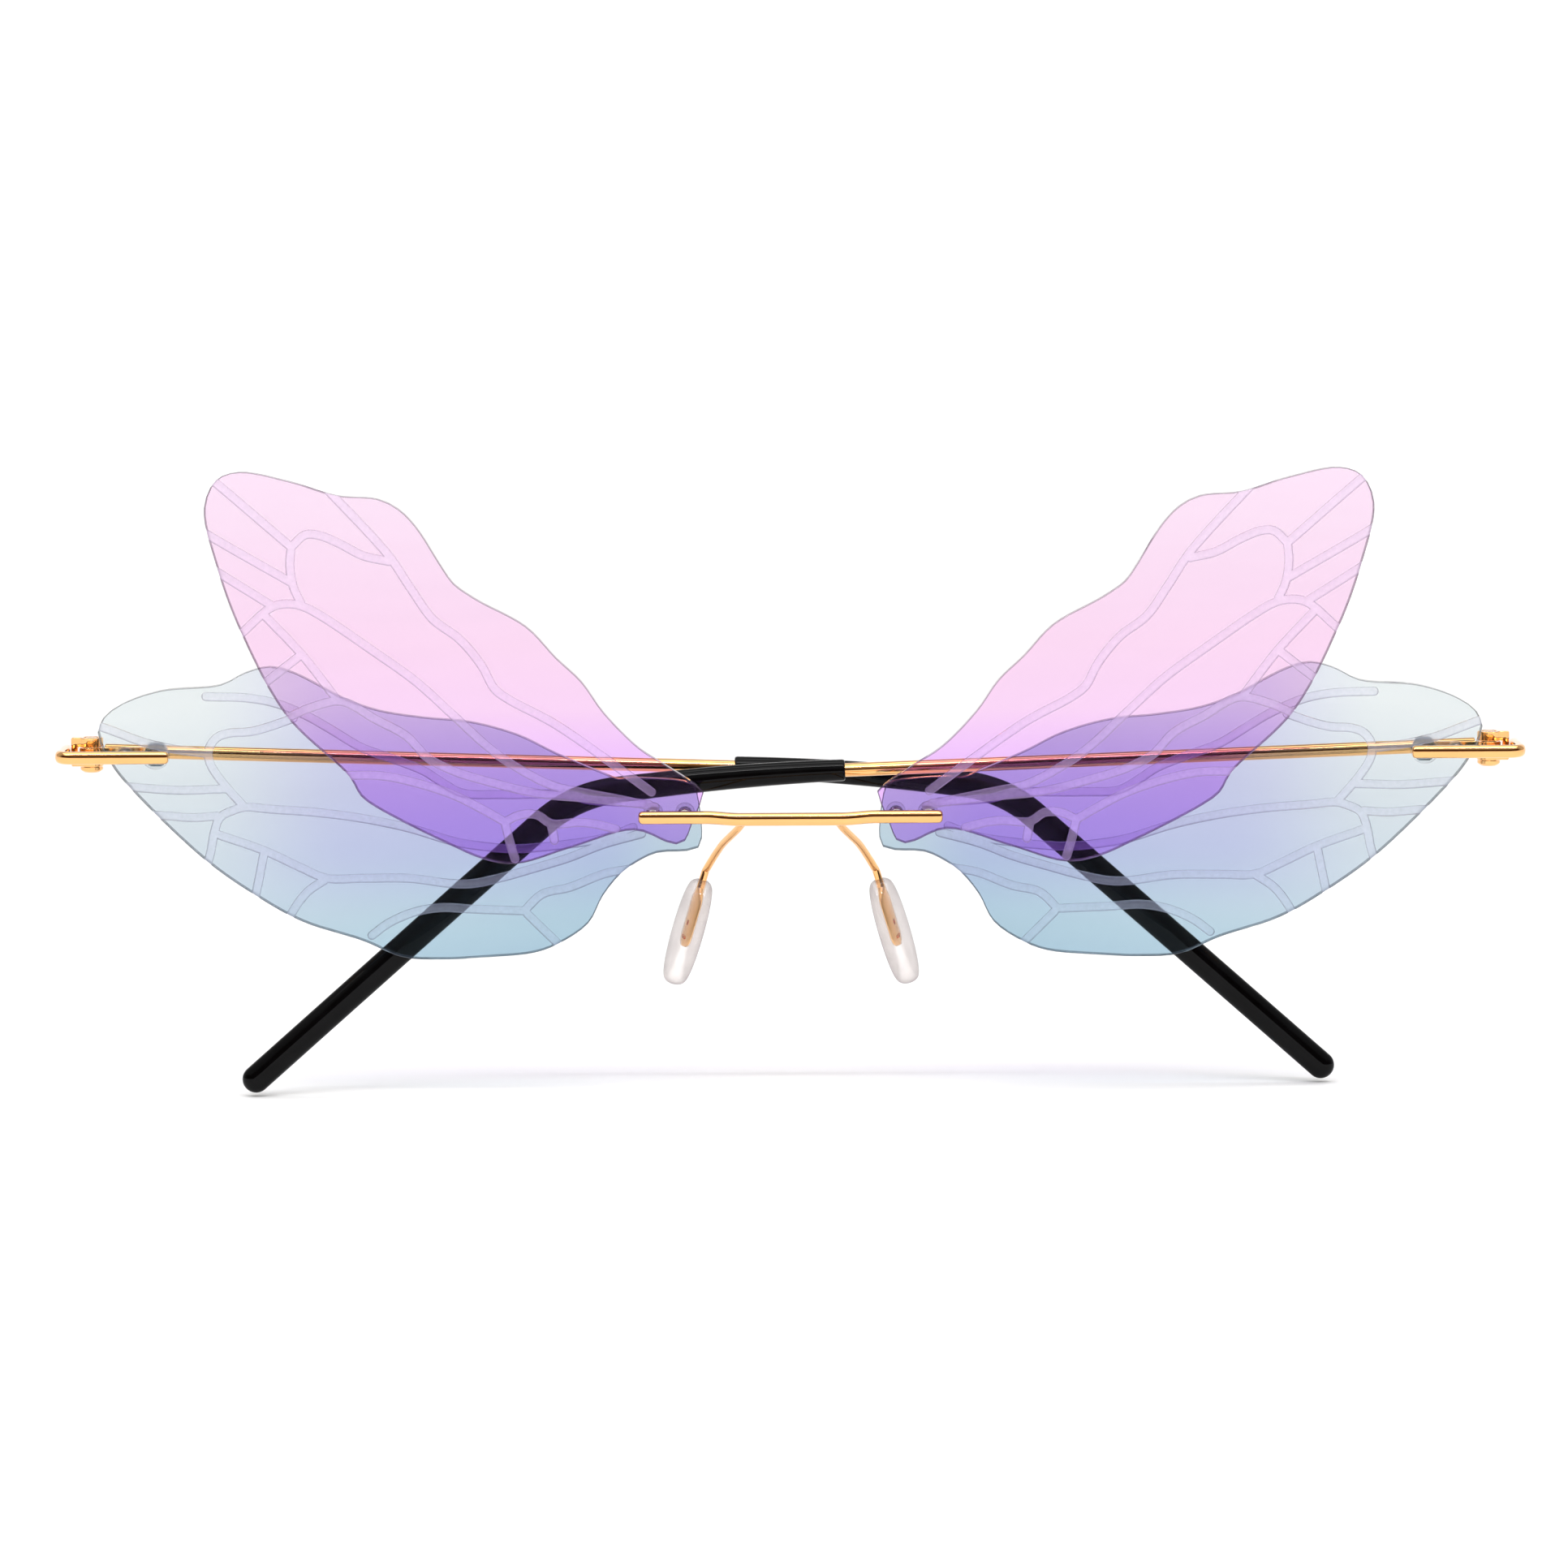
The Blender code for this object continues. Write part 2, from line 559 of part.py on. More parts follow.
def temple_path(stations):
    """(reach, drop) at each distance along the temple, by adding up its slope."""
    fine = np.linspace(0, TEMPLE_LENGTH, 1001)
    middle = (fine[1:] + fine[:-1]) / 2
    slope = temple_drop(middle)
    step = np.diff(fine)
    reach = np.concatenate([[0], np.cumsum(np.cos(slope) * step)])
    drop = np.concatenate([[0], np.cumsum(np.sin(slope) * step)])
    return list(zip(np.interp(stations, fine, reach), np.interp(stations, fine, drop)))


def bend_stations(start, end):
    """Distances along the temple, closer together round the ear bend."""
    bend_start = EAR_BEND_AT - EAR_BEND_LENGTH / 2 - EAR_BEND_LEAD
    bend_end = EAR_BEND_AT + EAR_BEND_LENGTH / 2
    marks = [start, SLEEVE_START + 8 * mm, *np.linspace(bend_start, bend_end, 12), end]
    return [mark for mark in marks if start <= mark <= end]


def make_temple(name, side, pivot, wire_mat, tip_mat):
    """Wire, black sleeve and hinge knuckle of one temple, about its hinge's axis."""

    def spot(reach, up, back=TEMPLE_WIRE_OFFSET):
        return Vector((-side * reach, back, up))

    bore = circle((0, 0), KNUCKLE_BORE_RADIUS, ROUND_SEGMENTS)
    low = TAB_OUTER - TEMPLE_TAB_THICKNESS
    outline = knuckle_outline(TEMPLE_TAB_LENGTH, low, TAB_OUTER)
    half = MIDDLE_KNUCKLE_HALF_HEIGHT
    bm = bmesh.new()
    plate(bm, outline, [bore], lambda u, v, h: spot(u, h, v), -half, half)
    add_object("hinge_temple_" + name, bm, wire_mat, pivot)

    across = Vector((0, 1, 0))
    wire_end = TEMPLE_LENGTH - SLEEVE_END_WALL - WIRE_END_GAP
    stations = bend_stations(TEMPLE_WIRE_START, wire_end)
    path = [spot(reach, -drop) for reach, drop in temple_path(stations)]
    section = ring_section(TEMPLE_WIRE_RADIUS, TEMPLE_WIRE_RADIUS, FINE_SEGMENTS)
    bm = bmesh.new()
    loft(bm, swept_rings(path, [section] * len(path), across))
    add_object("temple_wire_" + name, bm, wire_mat, pivot)

    stations = bend_stations(SLEEVE_START, TEMPLE_LENGTH - SLEEVE_END_WALL)
    path = [spot(reach, -drop) for reach, drop in temple_path(stations)]
    section = ring_section(SLEEVE_BORE_RADIUS, SLEEVE_BORE_RADIUS, FINE_SEGMENTS)
    bore_rings = swept_rings(path, [section] * len(path), across)

    dome = SLEEVE_HALF_HEIGHT
    stations = bend_stations(SLEEVE_START, TEMPLE_LENGTH - dome)
    stations += [TEMPLE_LENGTH - dome * (1 - sin(radians(turn))) for turn in (30, 55, 80)]
    path = [spot(reach, -drop) for reach, drop in temple_path(stations)]
    sections = []
    for along in stations:
        shares = [SLEEVE_START, EAR_BEND_AT]
        half_height = np.interp(along, shares, [SLEEVE_START_HALF_HEIGHT, SLEEVE_HALF_HEIGHT])
        into_dome = max(0.0, along - (TEMPLE_LENGTH - dome)) / dome
        shrink = (1 - into_dome**2) ** 0.5
        sections.append(
            ring_section(SLEEVE_HALF_THICKNESS * shrink, half_height * shrink, FINE_SEGMENTS)
        )
    skin_rings = swept_rings(path, sections, across)
    bm = bmesh.new()
    loft(bm, bore_rings[::-1] + skin_rings)
    add_object("temple_tip_" + name, bm, tip_mat, pivot)


def pad_axes(side):
    """Matrix of a nose pad: X fore and aft, Y outward, Z down its length, from its middle."""
    lean, splay = PAD_LEAN, PAD_SPLAY
    down = Vector((side * sin(lean), 0, -cos(lean)))
    outward = Vector((side * cos(lean), 0, sin(lean)))
    outward = outward * cos(splay) + Vector((0, -1, 0)) * sin(splay)
    aft = outward.cross(down)
    place = Vector((side * PAD_OUT, PAD_BACK, -PAD_DOWN))
    return Matrix.Translation(place) @ Matrix((aft, outward, down)).transposed().to_4x4()


def blade_shape(fit):
    """(place, half thickness, half width) down the arm's flattened end, grown by fit."""
    thin, wide = BLADE_THICKNESS / 2, BLADE_WIDTH / 2
    shape = [
        (0.0, ARM_RADIUS, ARM_RADIUS), (0.12, thin * 1.15, wide * 0.75), (0.25, thin, wide),
        (0.84, thin, wide), (0.95, thin, wide * 0.75), (1.0, thin * 0.8, wide * 0.35),
    ]
    top = BLADE_TOP - PAD_LENGTH / 2
    return [(top + share * BLADE_LENGTH, half + fit, side + fit) for share, half, side in shape]


def make_pad(name, side, mat):
    """The silicone pad, with the pocket that the flattened end of its arm sits in."""
    axes = pad_axes(side)
    levels = [(-0.5, 0.62), (-0.44, 0.84), (-0.25, 0.97), (0.0, 1.0)]
    levels += [(-depth, share) for depth, share in reversed(levels[:-1])]
    rings = []
    for depth, share in levels:
        ring = []
        for i in range(ROUND_SEGMENTS):
            turn = 2 * pi * i / ROUND_SEGMENTS
            along = PAD_LENGTH / 2 * (share + (1 - share) * 0.6) * cos(turn)
            ring.append((PAD_WIDTH / 2 * share * sin(turn), depth * PAD_THICKNESS, along))
        rings.append(ring)
    bm = bmesh.new()
    loft(bm, rings)
    bm.transform(axes)
    pad = add_object("nose_pad_" + name, bm, mat)

    throat = (-PAD_LENGTH, ARM_RADIUS + POCKET_FIT, ARM_RADIUS + POCKET_FIT)
    places = [throat, *blade_shape(POCKET_FIT)]
    last = places[-1]
    places[-1] = (last[0] + POCKET_FIT, last[1], last[2])
    bm = bmesh.new()
    rings = []
    for along, half, wide in places:
        rings.append([(b, a, along) for a, b in ring_section(half, wide, FINE_SEGMENTS)])
    loft(bm, rings)
    bm.transform(axes)
    boolean(pad, add_object("guide_pocket_" + name, bm, None), "DIFFERENCE")


def make_arm(name, side, mat):
    """The pad arm: a wire from behind the bar, back and down, pressed flat inside the pad."""
    axes = pad_axes(side)
    entry = axes @ Vector((0, 0, -PAD_LENGTH / 2 - ARM_ENTRY))
    root = Vector((side * ARM_ROOT_OUT, BAR_DEPTH / 2 + BRAZE_GAP, BAR_HEIGHT * 0.4))
    gap = entry - root
    shares = [(0.03, 0.1, 0.05), (0.15, 0.22, 0.17), (0.35, 0.4, 0.33), (0.56, 0.6, 0.5)]
    shares.append((0.79, 0.83, 0.75))
    bends = [
        root + Vector((gap.x * out, gap.y * back, gap.z * up)) for out, back, up in shares
    ]
    path = spline([root, *bends, entry], 1.0 * mm, closed=False)
    sections = [ring_section(ARM_RADIUS, ARM_RADIUS, FINE_SEGMENTS)] * len(path)
    for along, half, wide in blade_shape(0.0):
        path.append(axes @ Vector((0, 0, along)))
        sections.append(ring_section(half, wide, FINE_SEGMENTS))
    outward = axes.to_3x3().col[1]
    bm = bmesh.new()
    loft(bm, swept_rings(path, sections, outward))
    arm = add_object("pad_arm_" + name, bm, mat)

    bottom = BLADE_TOP + BLADE_LENGTH - PAD_LENGTH / 2
    hole = bottom - 2.4 * mm
    slot = bottom - 1.1 * mm
    bm = bmesh.new()
    profile = [
        (0, -BLADE_THICKNESS), (BLADE_HOLE_RADIUS, -BLADE_THICKNESS),
        (BLADE_HOLE_RADIUS, BLADE_THICKNESS), (0, BLADE_THICKNESS),
    ]
    turned(bm, profile, axes @ backward((0, 0, hole)), FINE_SEGMENTS)
    boolean(arm, add_object("guide_blade_hole_" + name, bm, None), "DIFFERENCE")
    bm = bmesh.new()
    half, low, high = BLADE_SLOT_LENGTH / 2, slot, slot + BLADE_SLOT_HEIGHT

    def place(aft, down, outward):
        return axes @ Vector((aft, outward, down))

    corners = [(-half, low), (half, low), (half, high), (-half, high)]
    plate(bm, corners, [], place, -BLADE_THICKNESS, BLADE_THICKNESS)
    boolean(arm, add_object("guide_blade_slot_" + name, bm, None), "DIFFERENCE")


def make_side(name, side, mats):
    make_wings(name, side, mats["forewing"], mats["hindwing"])
    make_bushes(name, side, mats["clear"])
    make_endpiece(name, side, mats["gold"])
    make_nut(name, side, mats["nut"], mats["clear"])
    make_front_hinge(name, side, mats["gold"])
    make_hinge_screw(name, side, mats["gold"])
    spread = Matrix.Rotation(REST_SPREAD if side < 0 else 0.0, 4, "Z")
    hinge_axis = add_pivot(
        "temple_axis_" + name, (side * HINGE_OUT, HINGE_BACK, ENDPIECE_UP), spread
    )
    make_temple(name, side, hinge_axis, mats["gold"], mats["black"])
    make_pad(name, side, mats["silicone"])
    make_arm(name, side, mats["gold"])


def main():
    clear_scene()
    mats = {
        "gold": material("gold", (0.83, 0.55, 0.22), 0.18, metallic=1.0),
        "nut": material("nut_plastic", (0.45, 0.55, 0.62), 0.1, alpha=0.6),
        "forewing": material("forewing_tint", (0.95, 0.72, 0.93), 0.05, alpha=0.45),
        "hindwing": material("hindwing_tint", (0.68, 0.82, 0.88), 0.05, alpha=0.45),
        "clear": material("clear_plastic", (0.85, 0.88, 0.9), 0.1, alpha=0.5),
        "silicone": material("silicone", (0.93, 0.9, 0.88), 0.25, alpha=0.4),
        "black": material("black_sleeve", (0.01, 0.01, 0.012), 0.12),
    }
    make_bridge(mats["gold"])
    make_side("left", 1, mats)
    make_side("right", -1, mats)


main()
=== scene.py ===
"""The look of the wing-lens sunglasses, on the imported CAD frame: engraved tinted lenses, gold
fittings, clear pads and black sleeves, on a white sweep under soft studio light.
+X is the wearer's left, the glasses face -Y and +Z is up. Lengths are metres."""

from math import cos, pi, radians, sin

import bmesh
import bpy
import numpy as np
from mathutils import Matrix, Vector


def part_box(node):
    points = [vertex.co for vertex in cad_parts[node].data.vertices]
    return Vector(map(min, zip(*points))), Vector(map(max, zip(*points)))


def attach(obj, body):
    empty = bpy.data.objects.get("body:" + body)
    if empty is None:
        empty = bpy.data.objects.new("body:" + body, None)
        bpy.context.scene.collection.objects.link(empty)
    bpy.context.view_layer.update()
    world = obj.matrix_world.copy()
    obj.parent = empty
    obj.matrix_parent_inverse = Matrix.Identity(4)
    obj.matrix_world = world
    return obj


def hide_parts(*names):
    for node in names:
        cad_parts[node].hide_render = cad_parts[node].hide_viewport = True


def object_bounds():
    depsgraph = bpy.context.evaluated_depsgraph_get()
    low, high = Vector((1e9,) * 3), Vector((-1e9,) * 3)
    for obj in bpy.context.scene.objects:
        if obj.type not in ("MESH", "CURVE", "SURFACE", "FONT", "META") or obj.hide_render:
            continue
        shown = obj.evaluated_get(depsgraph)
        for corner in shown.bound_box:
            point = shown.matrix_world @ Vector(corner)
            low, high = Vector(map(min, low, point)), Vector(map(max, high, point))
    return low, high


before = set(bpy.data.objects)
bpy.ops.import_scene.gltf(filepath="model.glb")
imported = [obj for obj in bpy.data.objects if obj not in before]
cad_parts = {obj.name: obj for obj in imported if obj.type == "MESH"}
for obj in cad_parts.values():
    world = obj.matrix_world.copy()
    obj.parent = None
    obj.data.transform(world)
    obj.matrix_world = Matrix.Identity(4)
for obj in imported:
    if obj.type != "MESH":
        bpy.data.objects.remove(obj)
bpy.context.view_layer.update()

mm = 0.001
SIDES = (("left", 1), ("right", -1))

# ---------------------------------------------------------------- the CAD's own sizes

# Lenses and bridge
BRIDGE_WIDTH = 17.4 * mm
FOREWING_LENGTH, FOREWING_HEIGHT = 49.5 * mm, 39.4 * mm
HINDWING_LENGTH, HINDWING_HEIGHT = 60.4 * mm, 29.6 * mm
HINDWING_SETBACK = 0.2 * mm
BAR_HEIGHT, BAR_DEPTH = 1.3 * mm, 1.2 * mm
BAR_BOW, BAR_STEP = 0.5 * mm, 0.15 * mm
BAR_FLAT_HALF, BAR_BEND_END = 5.06 * mm, 8.5 * mm
POST_INSET, POST_SPACING, POST_RADIUS = 1.9 * mm, 3.2 * mm, 0.4 * mm
POST_UP = BAR_HEIGHT / 2 + BAR_STEP
FOREWING_INNER = BRIDGE_WIDTH / 2
HINDWING_INNER = FOREWING_INNER + HINDWING_SETBACK
HINDWING_OUTER = HINDWING_INNER + HINDWING_LENGTH
INNER_POST = FOREWING_INNER + POST_INSET
OUTER_POST = INNER_POST + POST_SPACING

# End pieces and hinges
ENDPIECE_UP = POST_UP + 6.1 * mm
ENDPIECE_HEIGHT, ENDPIECE_THICKNESS = 1.3 * mm, 1.15 * mm
ENDPIECE_BEND_RADIUS = 1.3 * mm
STUD_OUT, STUD_RADIUS, STUD_BACK = HINDWING_OUTER - 5.6 * mm, 0.55 * mm, 5.72 * mm
PIN_OUT, PIN_RADIUS, PIN_BACK = STUD_OUT + 3.1 * mm, 0.4 * mm, 4.66 * mm
HINGE_OUT, HINGE_BACK = HINDWING_OUTER + 1.2 * mm, 7.6 * mm
ENDPIECE_END = HINGE_BACK + 0.8 * mm

# Temples
TEMPLE_LENGTH = 137.3 * mm
WIRE_RADIUS, WIRE_OFFSET, WIRE_START = 0.7 * mm, 1.2 * mm, 1.25 * mm
WIRE_END_GAP = 0.2 * mm
EAR_BEND_AT, EAR_BEND_LENGTH = 92.5 * mm, 8.0 * mm
EAR_BEND_START = EAR_BEND_AT - EAR_BEND_LENGTH / 2
EAR_BEND_END = EAR_BEND_AT + EAR_BEND_LENGTH / 2
WIRE_DROP, SLEEVE_DROP, EAR_DROP = radians(2.1), radians(7.5), radians(41.6)
REST_SPREAD = radians(2.6)
SLEEVE_START, SLEEVE_END_WALL = 65.0 * mm, 5.0 * mm
SLEEVE_START_HALF_HEIGHT, SLEEVE_HALF_HEIGHT = 1.1 * mm, 1.4 * mm
SLEEVE_HALF_THICKNESS, SLEEVE_BORE_RADIUS = 1.05 * mm, 0.8 * mm

# Nose pads and their arms
PAD_PLACE = (10.5 * mm, 10.0 * mm, -12.1 * mm)
PAD_LEAN, PAD_SPLAY = radians(16.5), radians(15.0)
PAD_LENGTH, PAD_WIDTH, PAD_THICKNESS = 11.2 * mm, 5.8 * mm, 2.2 * mm
POCKET_FIT = 0.1 * mm
ARM_RADIUS, ARM_ROOT_OUT, ARM_ENTRY = 0.4 * mm, 4.6 * mm, 0.9 * mm
BRAZE_GAP = 0.06 * mm
BLADE_TOP = 0.9 * mm - PAD_LENGTH / 2
BLADE_LENGTH, BLADE_WIDTH, BLADE_THICKNESS = 6.2 * mm, 3.6 * mm, 0.55 * mm
BLADE_BOTTOM = BLADE_TOP + BLADE_LENGTH
BLADE_HOLE_RADIUS, BLADE_HOLE_UP = 0.3 * mm, 2.4 * mm
BLADE_SLOT_HALF_HEIGHT, BLADE_SLOT_HALF_LENGTH, BLADE_SLOT_UP = 0.2 * mm, 0.75 * mm, 0.9 * mm

# ---------------------------------------------------------------- sizes of the finer shapes

SAME_POINT = 1e-7
CAD_SAME_POINT = 1e-6
FLAT_ANGLE = radians(1)
SHARP_ANGLE = radians(35)
LENS_SHARP_ANGLE = radians(28)
RIM_BEVEL = 0.09 * mm

# How a lens's edges are told from its flat faces, by the Y part of a face's direction
EDGE_FACE_MOST = 0.5
CORNER_LEAST, CORNER_SQUARE = 0.8, 0.3

GROOVE_HALF_WIDTH = 0.46 * mm
GROOVE_SLOPE = 0.1 * mm
GROOVE_DEPTH = 0.3 * mm
GROOVE_STEP = 0.5 * mm
GROOVE_PROUD = 0.3
GROOVE_END_STEPS = 8

# Material indices of a lens, whose flat faces have 0
FLOOR, WALL, RIM = 1, 2, 3

ROUND_SIDES, FINE_SIDES, SHAFT_SIDES = 32, 48, 24
SQUARISH, NEARLY_SQUARE = 2.5, 4.0
CAP_FIRST_RING = 0.35
CAP_REACH = 0.999
BAR_ROUND, BAR_SHRINK, BAR_STATIONS = 0.45 * mm, 0.55, 48
ENDPIECE_ROUND, ENDPIECE_SHRINK = 0.4 * mm, 0.5
ENDPIECE_FRONT_STEPS, ENDPIECE_BEND_STEPS, ENDPIECE_LEG_STEPS = 12, 16, 6
WIRE_ROUND, WIRE_SHRINK, WIRE_STATIONS = 0.2 * mm, 0.3, 120
SHAFT_ROUND, SHAFT_TIP_SHARE = 0.2 * mm, 0.6
TEMPLE_STEPS = 1355
SLEEVE_DOME, SLEEVE_DOME_RINGS, SLEEVE_DOME_TURNS = 1.4 * mm, 9, 9.4
SLEEVE_STATIONS, SLEEVE_LEAD = 90, 1 * mm
SLEEVE_MOUTH = [(0.0, 0.82), (0.03 * mm, 0.9), (0.1 * mm, 0.96), (0.25 * mm, 1.0)]
PAD_LEVELS, PAD_EDGE_SHARE, PAD_DOME_POWER, PAD_POWER = 12, 0.6, 0.7, 2.1
ARM_STEP = 0.35 * mm
ARM_ROOT_UP = BAR_HEIGHT * 0.4
# How far out, back and up the arm has come at each bend, as shares of the way to the pad
ARM_BENDS = [
    (0.03, 0.1, 0.05), (0.15, 0.22, 0.17), (0.35, 0.4, 0.33), (0.56, 0.6, 0.5), (0.79, 0.83, 0.75),
]

# Veins, outward and upward from the wing's inner end, in hundredths of its length and height
FOREWING_VEINS = [
    [(103, 91), (97.4, 85.2), (82.6, 69)],
    [(104, 76), (99, 72), (82.6, 60)],
    [(102, 66.5), (97, 62.4), (86.4, 54)],
    [(97, 43), (92.6, 47.5), (86.4, 54), (82.6, 54.6), (79.5, 53.5), (65.4, 41.7), (57.7, 34.6),
     (50.2, 25.9), (42.6, 17.1), (37.1, 12.3), (30.2, 7.9), (23.3, 6), (14.9, 3.9), (9.8, 2.4)],
    [(82.6, 69), (79.8, 72.1), (77, 72), (72.9, 69.9), (68.2, 66.8), (63, 65.3)],
    [(82.6, 69), (82.9, 64.3), (82.3, 59.1), (80.8, 54.8)],
    [(80, 90), (74.7, 82.9), (63, 66.7), (58.5, 58.1), (54.3, 50.6), (48.9, 45.4), (44.6, 38.8),
     (42, 32.8), (39.2, 30.1), (30.2, 24), (19.9, 15), (10.5, 6.3)],
    [(87.9, 51.4), (80.8, 41.8), (73.9, 30.4)],
    [(93, 30), (87.9, 34.9), (80.8, 41.8)],
    [(89, 23), (83.6, 25.8), (79.2, 28.2), (72.9, 29.8), (66.1, 25.2), (59.8, 20.8), (55.7, 15.4),
     (50.8, 12.1), (43.9, 9.3), (33.6, 6.1), (23.3, 4.8), (10.9, 3)],
    [(77, 11), (71.6, 10.9), (65.4, 10.8), (59.8, 9.5), (50.8, 5.9), (43.9, 1.5), (40.2, -1.2)],
    [(40.2, -1.2), (39.2, -6.4), (38.2, -10.6)],
    [(40.2, -1.2), (37.1, 0.6), (33.6, 0.6), (30.8, -1.7), (25.4, -1.4), (22, -1.8),
     (17.7, -3.2)],
    [(30.8, -1.7), (30.2, -6)],
]
HINDWING_VEINS = [
    [(103, 33.5), (98.2, 30), (92.3, 25.5), (88.2, 23.5), (82, 21.7)],
    [(67.6, 33.5), (71.7, 30.6), (74.8, 29), (78.4, 28.5), (80.4, 26.9), (81.7, 22.8),
     (81.5, 18.4), (80, 13.2), (78.4, 9.1), (76.1, 3.8)],
    [(100, 11), (94, 10.2), (87.1, 9.2), (78.7, 9.6)],
    [(94, 0.9), (89, 0.5), (84.6, -0.2), (80.4, 0.3)],
    [(82.5, -18), (81.6, -12), (81, -5.7), (80, -0.2), (77.8, 2.2), (75.8, 3.3), (71.7, 2.6),
     (64, 1.4), (56.4, -0.7), (48.6, -4.1), (40.9, -8.9), (35.8, -10.6), (30.6, -11.3),
     (22, -9.8), (15.9, -7.7), (11.4, -4.2)],
    [(80.4, -6), (72.7, -11.6), (66.6, -17.5), (62.5, -21.1), (56.4, -21.2), (48.6, -21.3),
     (41.9, -23.1), (38.4, -23.2), (34.2, -21.6), (28, -18.1), (22, -14.4), (16.6, -10.1),
     (10, -6.4)],
    [(72.7, -11.9), (74, -24.6), (74.6, -30)],
    [(62.5, -21.4), (65.6, -25.7), (68, -32), (69.5, -38)],
    [(55, -40.8), (52.2, -36.6), (48, -32.9), (43.5, -31.3), (38.4, -31.9), (29.6, -32.6)],
    [(29.6, -32.6), (26.6, -26.9), (22, -24.6), (16.2, -20), (12, -18.5)],
    [(29.1, -33.7), (25.3, -41.4), (22.5, -47)],
    [(82, 41), (75.3, 40.5), (70.7, 38.8), (65.6, 34.6), (61.5, 29.8), (56.4, 23.5),
     (51.1, 19.5), (46, 15.3), (42.9, 11.2), (39.8, 7.8), (33.1, 7.2), (22, 7),
     (18.8, 5.3), (9.9, 4)],
]


# ---------------------------------------------------------------- node helpers


def nodes_of(name):
    """A new material with an empty node tree, its nodes and its links."""
    mat = bpy.data.materials.new(name)
    mat.use_nodes = True
    tree = mat.node_tree
    tree.nodes.clear()
    return mat, tree.nodes, tree.links


def node(nodes, kind, **values):
    """A node with some of its inputs or properties set by name."""
    made = nodes.new(kind)
    for key, value in values.items():
        if hasattr(made, key):
            setattr(made, key, value)
        else:
            made.inputs[key.replace("_", " ")].default_value = value
    return made


def feed(links, value, socket):
    """Links a socket to another one, or sets it to a plain value."""
    if isinstance(value, bpy.types.NodeSocket):
        links.new(value, socket)
    else:
        socket.default_value = value


def show(nodes, links, surface):
    """Sends a shader to the material's output."""
    out = nodes.new("ShaderNodeOutputMaterial")
    links.new(surface, out.inputs["Surface"])


def ramp(nodes, links, factor, stops):
    """A colour ramp driven by factor, with (place, colour) stops."""
    made = nodes.new("ShaderNodeValToRGB")
    band = made.color_ramp
    while len(band.elements) < len(stops):
        band.elements.new(0.5)
    for element, (place, colour) in zip(band.elements, stops):
        element.position = place
        element.color = (*colour, 1.0)
    links.new(factor, made.inputs["Fac"])
    return made.outputs["Color"]


def noise(nodes, links, scale, detail=2.0):
    """Noise from 0 to 1 that stays fixed to the object."""
    place = nodes.new("ShaderNodeTexCoord")
    made = node(nodes, "ShaderNodeTexNoise", Scale=scale, Detail=detail)
    links.new(place.outputs["Object"], made.inputs["Vector"])
    return made.outputs["Fac"]


def place_axes(nodes, links):
    """The X, Y and Z of a point in the object's own frame."""
    place = nodes.new("ShaderNodeTexCoord")
    split = nodes.new("ShaderNodeSeparateXYZ")
    links.new(place.outputs["Object"], split.inputs[0])
    return split.outputs


def arithmetic(nodes, links, operation, *terms):
    """One step of arithmetic on sockets and plain numbers."""
    made = node(nodes, "ShaderNodeMath", operation=operation)
    for term, socket in zip(terms, made.inputs):
        feed(links, term, socket)
    return made.outputs[0]


def rise(nodes, links, value, start, end, kind="LINEAR"):
    """0 where the value is at start, 1 where it is at end."""
    made = node(nodes, "ShaderNodeMapRange", interpolation_type=kind)
    made.inputs["From Min"].default_value = start
    made.inputs["From Max"].default_value = end
    links.new(value, made.inputs["Value"])
    return made.outputs["Result"]


def spread(nodes, links, share, low, high):
    """A share from 0 to 1 spread from low to high."""
    made = nodes.new("ShaderNodeMapRange")
    made.inputs["To Min"].default_value = low
    made.inputs["To Max"].default_value = high
    links.new(share, made.inputs["Value"])
    return made.outputs["Result"]


def mix_colours(nodes, links, share, first, second, blend="MIX"):
    made = nodes.new("ShaderNodeMix")
    made.data_type = "RGBA"
    made.blend_type = blend
    feed(links, share, made.inputs["Factor"])
    feed(links, first, made.inputs["A"])
    feed(links, second, made.inputs["B"])
    return made.outputs["Result"]


def mix_shaders(nodes, links, share, first, second):
    made = nodes.new("ShaderNodeMixShader")
    feed(links, share, made.inputs["Fac"])
    links.new(first, made.inputs[1])
    links.new(second, made.inputs[2])
    return made.outputs[0]


def coated(nodes, links, surface, straight_on, roughness):
    """A surface under a gloss: straight_on of it seen square, more at a slant."""
    weight = node(nodes, "ShaderNodeLayerWeight", Blend=0.5)
    steep = arithmetic(nodes, links, "POWER", weight.outputs["Facing"], SLANT_POWER)
    share = spread(nodes, links, steep, straight_on, SLANT_SHINE)
    gloss = node(nodes, "ShaderNodeBsdfGlossy", Roughness=roughness)
    return mix_shaders(nodes, links, share, surface, gloss.outputs[0])


# ---------------------------------------------------------------- materials

SLANT_POWER, SLANT_SHINE = 5.0, 0.9
FILM_ROUGHNESS = 0.05
FROST_SCALE, FROST_SPREAD, FROST_GLOW = 2200.0, 0.15, 0.2
METAL_COAT, METAL_COAT_ROUGHNESS = 0.6, 0.08
METAL_STREAK_SCALE, METAL_STREAK_DETAIL, METAL_STREAK = 900.0, 4.0, 1.2
METAL_TONE_SCALE, METAL_DULLER = 260.0, 0.93
BLACK_IOR, BLACK_SCALE, BLACK_DETAIL = 1.22, 350.0, 3.0
BLACK_ROUGHNESS = (0.03, 0.05)
BLACK_TONES = [(0.35, (0.001, 0.001, 0.0012)), (0.7, (0.0025, 0.0025, 0.003))]
CLEAR_IOR, CLEAR_SHINE, CLEAR_SCALE, CLEAR_DULLER = 1.42, 0.03, 420.0, 0.9
CLEAR_EDGE_BLEND, CLEAR_EDGE_WAVER = 0.3, 0.3

